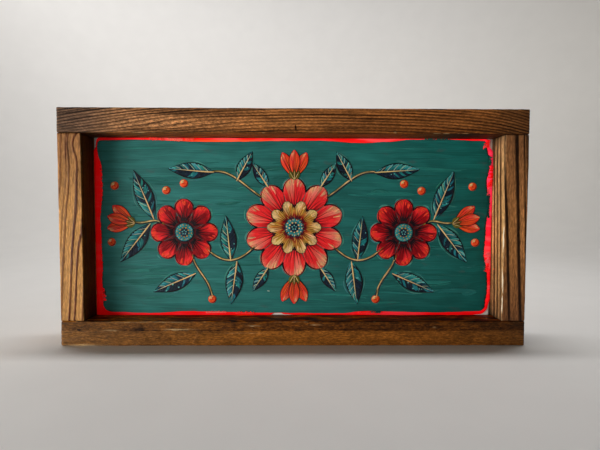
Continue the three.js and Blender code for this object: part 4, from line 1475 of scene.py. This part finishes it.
class PAINTING_PG_ground(bpy.types.PropertyGroup):
    coral: hue("Coral", "The neon ground that shows as a border", (255, 22, 30))
    teal: hue("Teal", "The field behind the garland", (36, 112, 103))
    primer: hue("Primer", "The white that shows at the corners", (246, 244, 240))
    marks: distance("Brush marks", "Depth of the bristle marks in the paint", 0.00012)


class PAINTING_PG_garland(bpy.types.PropertyGroup):
    crimson: hue("Crimson", "Roots of the red petals, and the side blossoms", (150, 6, 18))
    coral: hue("Coral", "The middle blossom", (255, 44, 48))
    orange: hue("Orange", "Buds and berries", (244, 84, 36))
    pink: hue("Pink", "Lit parts of the petals", (255, 128, 108))
    cream: hue("Cream", "Petal tips and leaf ribs", (240, 200, 138))
    ochre: hue("Ochre", "The crown of the middle blossom", (204, 146, 58))
    turquoise: hue("Turquoise", "Discs and lit leaves", (36, 142, 146))
    pale: hue("Pale turquoise", "Light touches on leaves and discs", (112, 196, 190))
    navy: hue("Navy", "Shaded leaves", (22, 44, 62))
    black: hue("Black", "Contours and speckles", (24, 14, 22))
    olive: hue("Olive", "Stems and cups", (104, 98, 32))
    seed: bpy.props.IntProperty(
        name="Seed", description="Another seed moves every stroke a little", default=7
    )


class PAINTING_PG_stage(bpy.types.PropertyGroup):
    floor: hue("Floor", "The pale floor and the bowl around it", (226, 224, 218))
    key: number("Key light", "Power of the soft light", 6.0, unit="POWER")
    fill: number("Fill", "Strength of the even light", 0.04)
    lens: number("Lens", "Focal length for a 36 mm frame", 24.486, least=1.0)


# ---------------------------------------------------------------- operators


class PAINTING_OT_frame(bpy.types.Operator):
    """Build the four sticks of the box frame and the bare board in it"""

    bl_idname = "painting.frame"
    bl_label = "Box Frame"

    SLOTS = {
        "top_rail": "rail_wood", "bottom_rail": "rail_wood", "left_stile": "left_stile_wood",
        "right_stile": "right_stile_wood", "board": "bare_pine",
    }
    LONG, SHORT, DEEP = 1.2, 0.6, 1.0  # the mesh's steps along a stick, across its face and deep

    def execute(self, context):
        settings = context.scene.painting_frame
        for node, slot in self.SLOTS.items():
            wood = STICKS[node]
            middle, size = span(node)
            bare = node == "board"
            coarse = 2 if bare else 1
            long, short = self.LONG * coarse, self.SHORT * coarse
            steps = (short, self.DEEP, long) if wood.upright else (long, self.DEEP, short)
            counts = {
                f"Steps{axis}": round(part / MM / step) + 1 for axis, part, step in zip("XYZ", size, steps)
            }
            material = pine(f"{node}_pine", wood, middle, size, settings.stain)
            piece = grown(
                f"{node}_wood", stick_tree(node, wood, material), Size=size, Centre=middle,
                Edge=BOARD_EDGE if bare else settings.edge / MM, Relief=settings.relief / MM,
                Wear=settings.wear / MM * (BOARD_WEAR if bare else 1.0), **counts,
            )
            dress(piece, slot, node)
        return {"FINISHED"}


class PAINTING_OT_hanger(bpy.types.Operator):
    """Nail the sawtooth hanger to the back of the top rail"""

    bl_idname = "painting.hanger"
    bl_label = "Sawtooth Hanger"

    def execute(self, context):
        metal = zinc(context.scene.painting_frame.metal)
        dress(toothed_strip(metal), "hanger_metal", "sawtooth_hanger")
        for side in ("left", "right"):
            node = f"hanger_nail_{side}"
            dress(nail_head(f"nail_head_{side}", node, metal), "hanger_metal", node)
        return {"FINISHED"}


class PAINTING_OT_ground(bpy.types.Operator):
    """Brush the primer, the coral ground and the teal field onto the board"""

    bl_idname = "painting.ground"
    bl_label = "Ground Coats"

    STEP_X, STEP_Z = 1.6, 0.6  # of the mesh, along the bristle marks and across them

    def execute(self, context):
        settings = context.scene.painting_ground
        for node, slot, paint in (
            ("primer_coat", "primer_paint", primer_paint(settings.primer)),
            ("coral_ground", "coral_paint", coral_paint(settings.coral)),
            ("teal_field", "teal_paint", teal_paint(settings.teal)),
        ):
            middle, size = span(node)
            if node == "coral_ground":
                size = Vector((BOARD_SIZE.x, size.y, BOARD_SIZE.z))
            piece = grown(
                f"{node}_paint", coat_tree(node, COATS[node], paint), Size=size, Centre=middle,
                Marks=settings.marks / MM, StepsX=round(size.x / MM / self.STEP_X) + 1,
                StepsZ=round(size.z / MM / self.STEP_Z) + 1,
            )
            dress(piece, slot, node)
        return {"FINISHED"}


class PAINTING_OT_touches(bpy.types.Operator):
    """Brush loose touches on the ground: dabs at the border, level strokes and pale lines round forms"""

    bl_idname = "painting.touches"
    bl_label = "Ground Touches"

    def execute(self, context):
        settings = context.scene.painting_ground
        seed = context.scene.painting_garland.seed
        paint = artist_paint("ground_touch_paint")
        # Emission on the neon touches is painted light, for the fluorescence of the neon paint.
        neon = artist_paint("neon_touch_paint", 0.24)
        coral = Brush(seed + 8)
        for row in CORAL_DABS:
            dab(coral, *row)
        painted("border_coral_dabs", coral, neon, "coral_paint")
        teal = Brush(seed + 9)
        field_strokes(teal, settings.teal)
        for row in TEAL_DABS:
            dab(teal, *row)
        pale = scaled(settings.teal, 3.6, 1.7, 1.8)
        for flower in (HEART, *SIDES):
            for start in range(0, 360, 30):
                angles = np.linspace(start, start + 26, 12)
                halo(teal, flower.outline(angles, 1.3), (0.5, 1.3), pale)
        for x, z, toward, long, wide in mirrored(LEAVES.values()):
            blade = Blade(x, z, toward, long, wide + 3.2, leaf_side)
            for side in (-1, 1):
                halo(teal, blade.line(np.linspace(0.08, 0.95, 16), side), (0.4, 1.0), pale)
        fleck = linear((200, 206, 196))
        teal.stroke(((-21.6, -51.2), (-19.8, -51.5)), (0.5, 0.6), (fleck,), 0.02, 0.04)
        teal.dot((-145.5, 29.6), 0.8, linear((120, 158, 150)), 0.02, 0.04)
        painted("field_touches", teal, paint, "teal_paint")
        return {"FINISHED"}


def pairs(name):
    """The two nodes of a form and its mirror image."""
    return f"{name}_right", f"{name}_left"


class PAINTING_OT_blossoms(bpy.types.Operator):
    """Paint the middle blossom, the side blossoms and their eyes"""

    bl_idname = "painting.blossoms"
    bl_label = "Blossoms"

    def execute(self, context):
        tint = context.scene.painting_garland
        paint = artist_paint("blossom_paint")
        heart, crown, outer, eyes = (Brush(tint.seed + index) for index in range(4))
        paint_petals(heart, HEART, 14, 0.02, tint.crimson, tint.coral, tint.pink, tint.cream, tint.black)
        paint_petals(crown, CROWN, 6, 0.12, tint.crimson, tint.ochre, tint.cream, tint.cream, tint.black)
        reds = (tint.black, tint.crimson, tint.coral, tint.orange, tint.black)
        disc = (tint.navy, tint.turquoise, tint.pale)
        paint_disc(eyes, HEART.centre, HEART_DISC, 0.24, *disc, tint.cream)
        for flower in SIDES:
            paint_petals(outer, flower, 9, 0.02, *reds)
            paint_disc(eyes, flower.centre, SIDE_DISC, 0.2, *disc, tint.ochre)
        painted("heart_petal_strokes", heart, paint, "vermilion_paint", "heart_petals")
        painted("heart_crown_strokes", crown, paint, "ochre_paint", "heart_crown")
        painted("side_petal_strokes", outer, paint, "crimson_paint", *pairs("side_petals"))
        painted("blossom_eyes", eyes, paint, "turquoise_paint", "heart_disc", *pairs("side_disc"))
        return {"FINISHED"}


class PAINTING_OT_greenery(bpy.types.Operator):
    """Paint the leaves, sprigs and stems"""

    bl_idname = "painting.greenery"
    bl_label = "Leaves and Stems"

    def execute(self, context):
        tint = context.scene.painting_garland
        paint = artist_paint("greenery_paint")
        leaves = Brush(tint.seed + 4)
        greens = (tint.black, tint.navy, tint.turquoise, tint.pale, tint.cream)
        for x, z, toward, long, wide, *start in mirrored((*LEAVES.values(), *SPRIGS)):
            paint_leaf(leaves, Blade(x, z, toward, long, wide, leaf_side, *start), 0.02, *greens)
        names = [f"leaf_{name}" for name in LEAVES] + ["sprig_top", "sprig_bottom"]
        nodes = [node for name in names for node in pairs(name)]
        painted("leaf_strokes", leaves, paint, "leaf_paint", *nodes)
        stems = Brush(tint.seed + 5)
        for controls in STEMS.values():
            for way in (1, -1):
                path = [(way * x, z) for x, z in controls]
                paint_stem(stems, path, 0.03, tint.navy, tint.olive, tint.cream)
        nodes = [node for name in STEMS for node in pairs(f"stem_{name}")]
        painted("stem_strokes", stems, paint, "olive_paint", *nodes)
        return {"FINISHED"}


class PAINTING_OT_fruit(bpy.types.Operator):
    """Paint the buds and berries"""

    bl_idname = "painting.fruit"
    bl_label = "Buds and Berries"

    def execute(self, context):
        tint = context.scene.painting_garland
        paint = artist_paint("fruit_paint")
        buds = Brush(tint.seed + 6)
        tints = (tint.crimson, tint.orange, tint.coral, tint.cream, tint.black, tint.olive)
        for row in BUDS:
            paint_bud(buds, *row, 0.05, *tints)
        painted("bud_strokes", buds, paint, "orange_paint", *pairs("bud_outer"), "bud_top", "bud_bottom")
        berries = Brush(tint.seed + 7)
        for x, z in BERRIES.values():
            for way in (1, -1):
                paint_berry(berries, way * x, z, 0.05, tint.crimson, tint.orange, tint.cream)
        nodes = [node for name in BERRIES for node in pairs(f"berry_{name}")]
        painted("berry_strokes", berries, paint, "ochre_paint", *nodes)
        return {"FINISHED"}


class PAINTING_OT_stage(bpy.types.Operator):
    """Set the pale floor, the soft lights and the camera"""

    bl_idname = "painting.stage"
    bl_label = "Stage"

    FLOOR = (  # radius and height of the floor's rings, which rise into a bowl
        (0.6, 0.0), (0.8, 0.0), (0.95, 0.02), (1.1, 0.08), (1.22, 0.19), (1.32, 0.38), (1.38, 0.68),
        (1.4, 1.2),
    )
    LAMPS = (  # name, place, aim, size, share of the key light's power, tone, spread in degrees
        ("window", (-0.86, -0.406, 0.043), (0.0, 0.0, 0.09), (0.72, 0.044), 0.392, (255, 250, 244), 80),
        ("ceiling", (0.0, 0.14, 1.4), (0.0, 0.1, 0.0), (1.2, 0.12), 0.385, (252, 251, 255), 70),
        ("backdrop", (-0.4, 0.3, 1.3), (-0.2, 1.4, 0.35), (1.4, 0.3), 1.38, (252, 251, 255), 120),
    )
    ROOM = (228, 232, 238)
    CAMERA = (0.001482, -0.32822, 0.10626)
    TURN = (-2.447, -0.137, -0.540)  # about the camera's own right, forward and up, in degrees

    def floor(self, tint):
        graph, place = shader("pale_floor")
        tone = graph.times(tint, graph.noise(place, scale=0.02, detail=2.0) * 0.06 + 0.97)
        material = surface(graph, {"Roughness": 0.75, "Specular IOR Level": FLOOR_GLOSS}, Base_Color=tone)
        around = 96
        middle = [(0, 1 + step, 1 + (step + 1) % around) for step in range(around)]
        rings = [(1 + a, 1 + d, 1 + c, 1 + b) for a, b, c, d in ring_faces(len(self.FLOOR), around)]
        mesh = bpy.data.meshes.new("floor")
        mesh.from_pydata([(0.0, 0.0, 0.0), *turned(self.FLOOR, around)], [], middle + rings)
        mesh.shade_smooth()
        mesh.materials.append(material)
        placed("floor", mesh)

    def lamp(self, name, place, aim, size, power, tone, spread):
        light = bpy.data.lights.new(name, "AREA")
        light.shape = "RECTANGLE"
        light.size, light.size_y = size
        light.energy = power
        light.spread = math.radians(spread)
        light.color = linear(tone)[:3]
        lamp = placed(name, light)
        lamp.location = place
        lamp.visible_camera = False
        lamp.rotation_euler = (Vector(aim) - Vector(place)).to_track_quat("-Z", "Y").to_euler()

    def execute(self, context):
        settings = context.scene.painting_stage
        self.floor(settings.floor)
        for name, place, aim, size, share, tone, spread in self.LAMPS:
            self.lamp(name, place, aim, size, settings.key * share, tone, spread)
        world = bpy.data.worlds.new("soft_room")
        world.use_nodes = True
        background = world.node_tree.nodes["Background"].inputs
        background["Color"].default_value = linear(self.ROOM)
        background["Strength"].default_value = settings.fill
        context.scene.world = world
        context.scene.view_settings.view_transform = "Standard"

        lens = bpy.data.cameras.new("camera")
        lens.sensor_width = 36.0
        lens.lens = settings.lens
        lens.clip_start = 0.01
        camera = placed("camera", lens)
        right, forward, up = (math.radians(angle) for angle in self.TURN)
        turn = Matrix.Rotation(up, 4, "Z") @ Matrix.Rotation(forward, 4, "Y") @ Matrix.Rotation(right, 4, "X")
        level = Matrix.Rotation(math.pi / 2, 4, "X")
        camera.matrix_world = Matrix.Translation(self.CAMERA) @ turn @ level
        context.scene.camera = camera
        return {"FINISHED"}


class PAINTING_PT_panel(bpy.types.Panel):
    bl_idname = "PAINTING_PT_panel"
    bl_label = "Framed Painting"
    bl_space_type = "VIEW_3D"
    bl_region_type = "UI"
    bl_category = "Painting"

    def draw(self, context):
        for name, (group, *steps) in GROUPS.items():
            box = self.layout.box()
            settings = getattr(context.scene, name)
            for key in group.__annotations__:
                box.prop(settings, key)
            for step in steps:
                box.operator(step.bl_idname)


GROUPS = {
    "painting_frame": (PAINTING_PG_frame, PAINTING_OT_frame, PAINTING_OT_hanger),
    "painting_ground": (PAINTING_PG_ground, PAINTING_OT_ground, PAINTING_OT_touches),
    "painting_garland": (PAINTING_PG_garland, PAINTING_OT_blossoms, PAINTING_OT_greenery, PAINTING_OT_fruit),
    "painting_stage": (PAINTING_PG_stage, PAINTING_OT_stage),
}
CLASSES = [item for group in GROUPS.values() for item in group] + [PAINTING_PT_panel]


def register():
    for item in CLASSES:
        bpy.utils.register_class(item)
    for name, classes in GROUPS.items():
        setattr(bpy.types.Scene, name, bpy.props.PointerProperty(type=classes[0]))


def unregister():
    for name in GROUPS:
        delattr(bpy.types.Scene, name)
    for item in reversed(CLASSES):
        bpy.utils.unregister_class(item)


def main():
    register()
    bpy.ops.painting.stage()
    bpy.ops.painting.frame()
    bpy.ops.painting.hanger()
    bpy.ops.painting.ground()
    bpy.ops.painting.touches()
    bpy.ops.painting.blossoms()
    bpy.ops.painting.greenery()
    bpy.ops.painting.fruit()


if __name__ == "__main__":
    main()
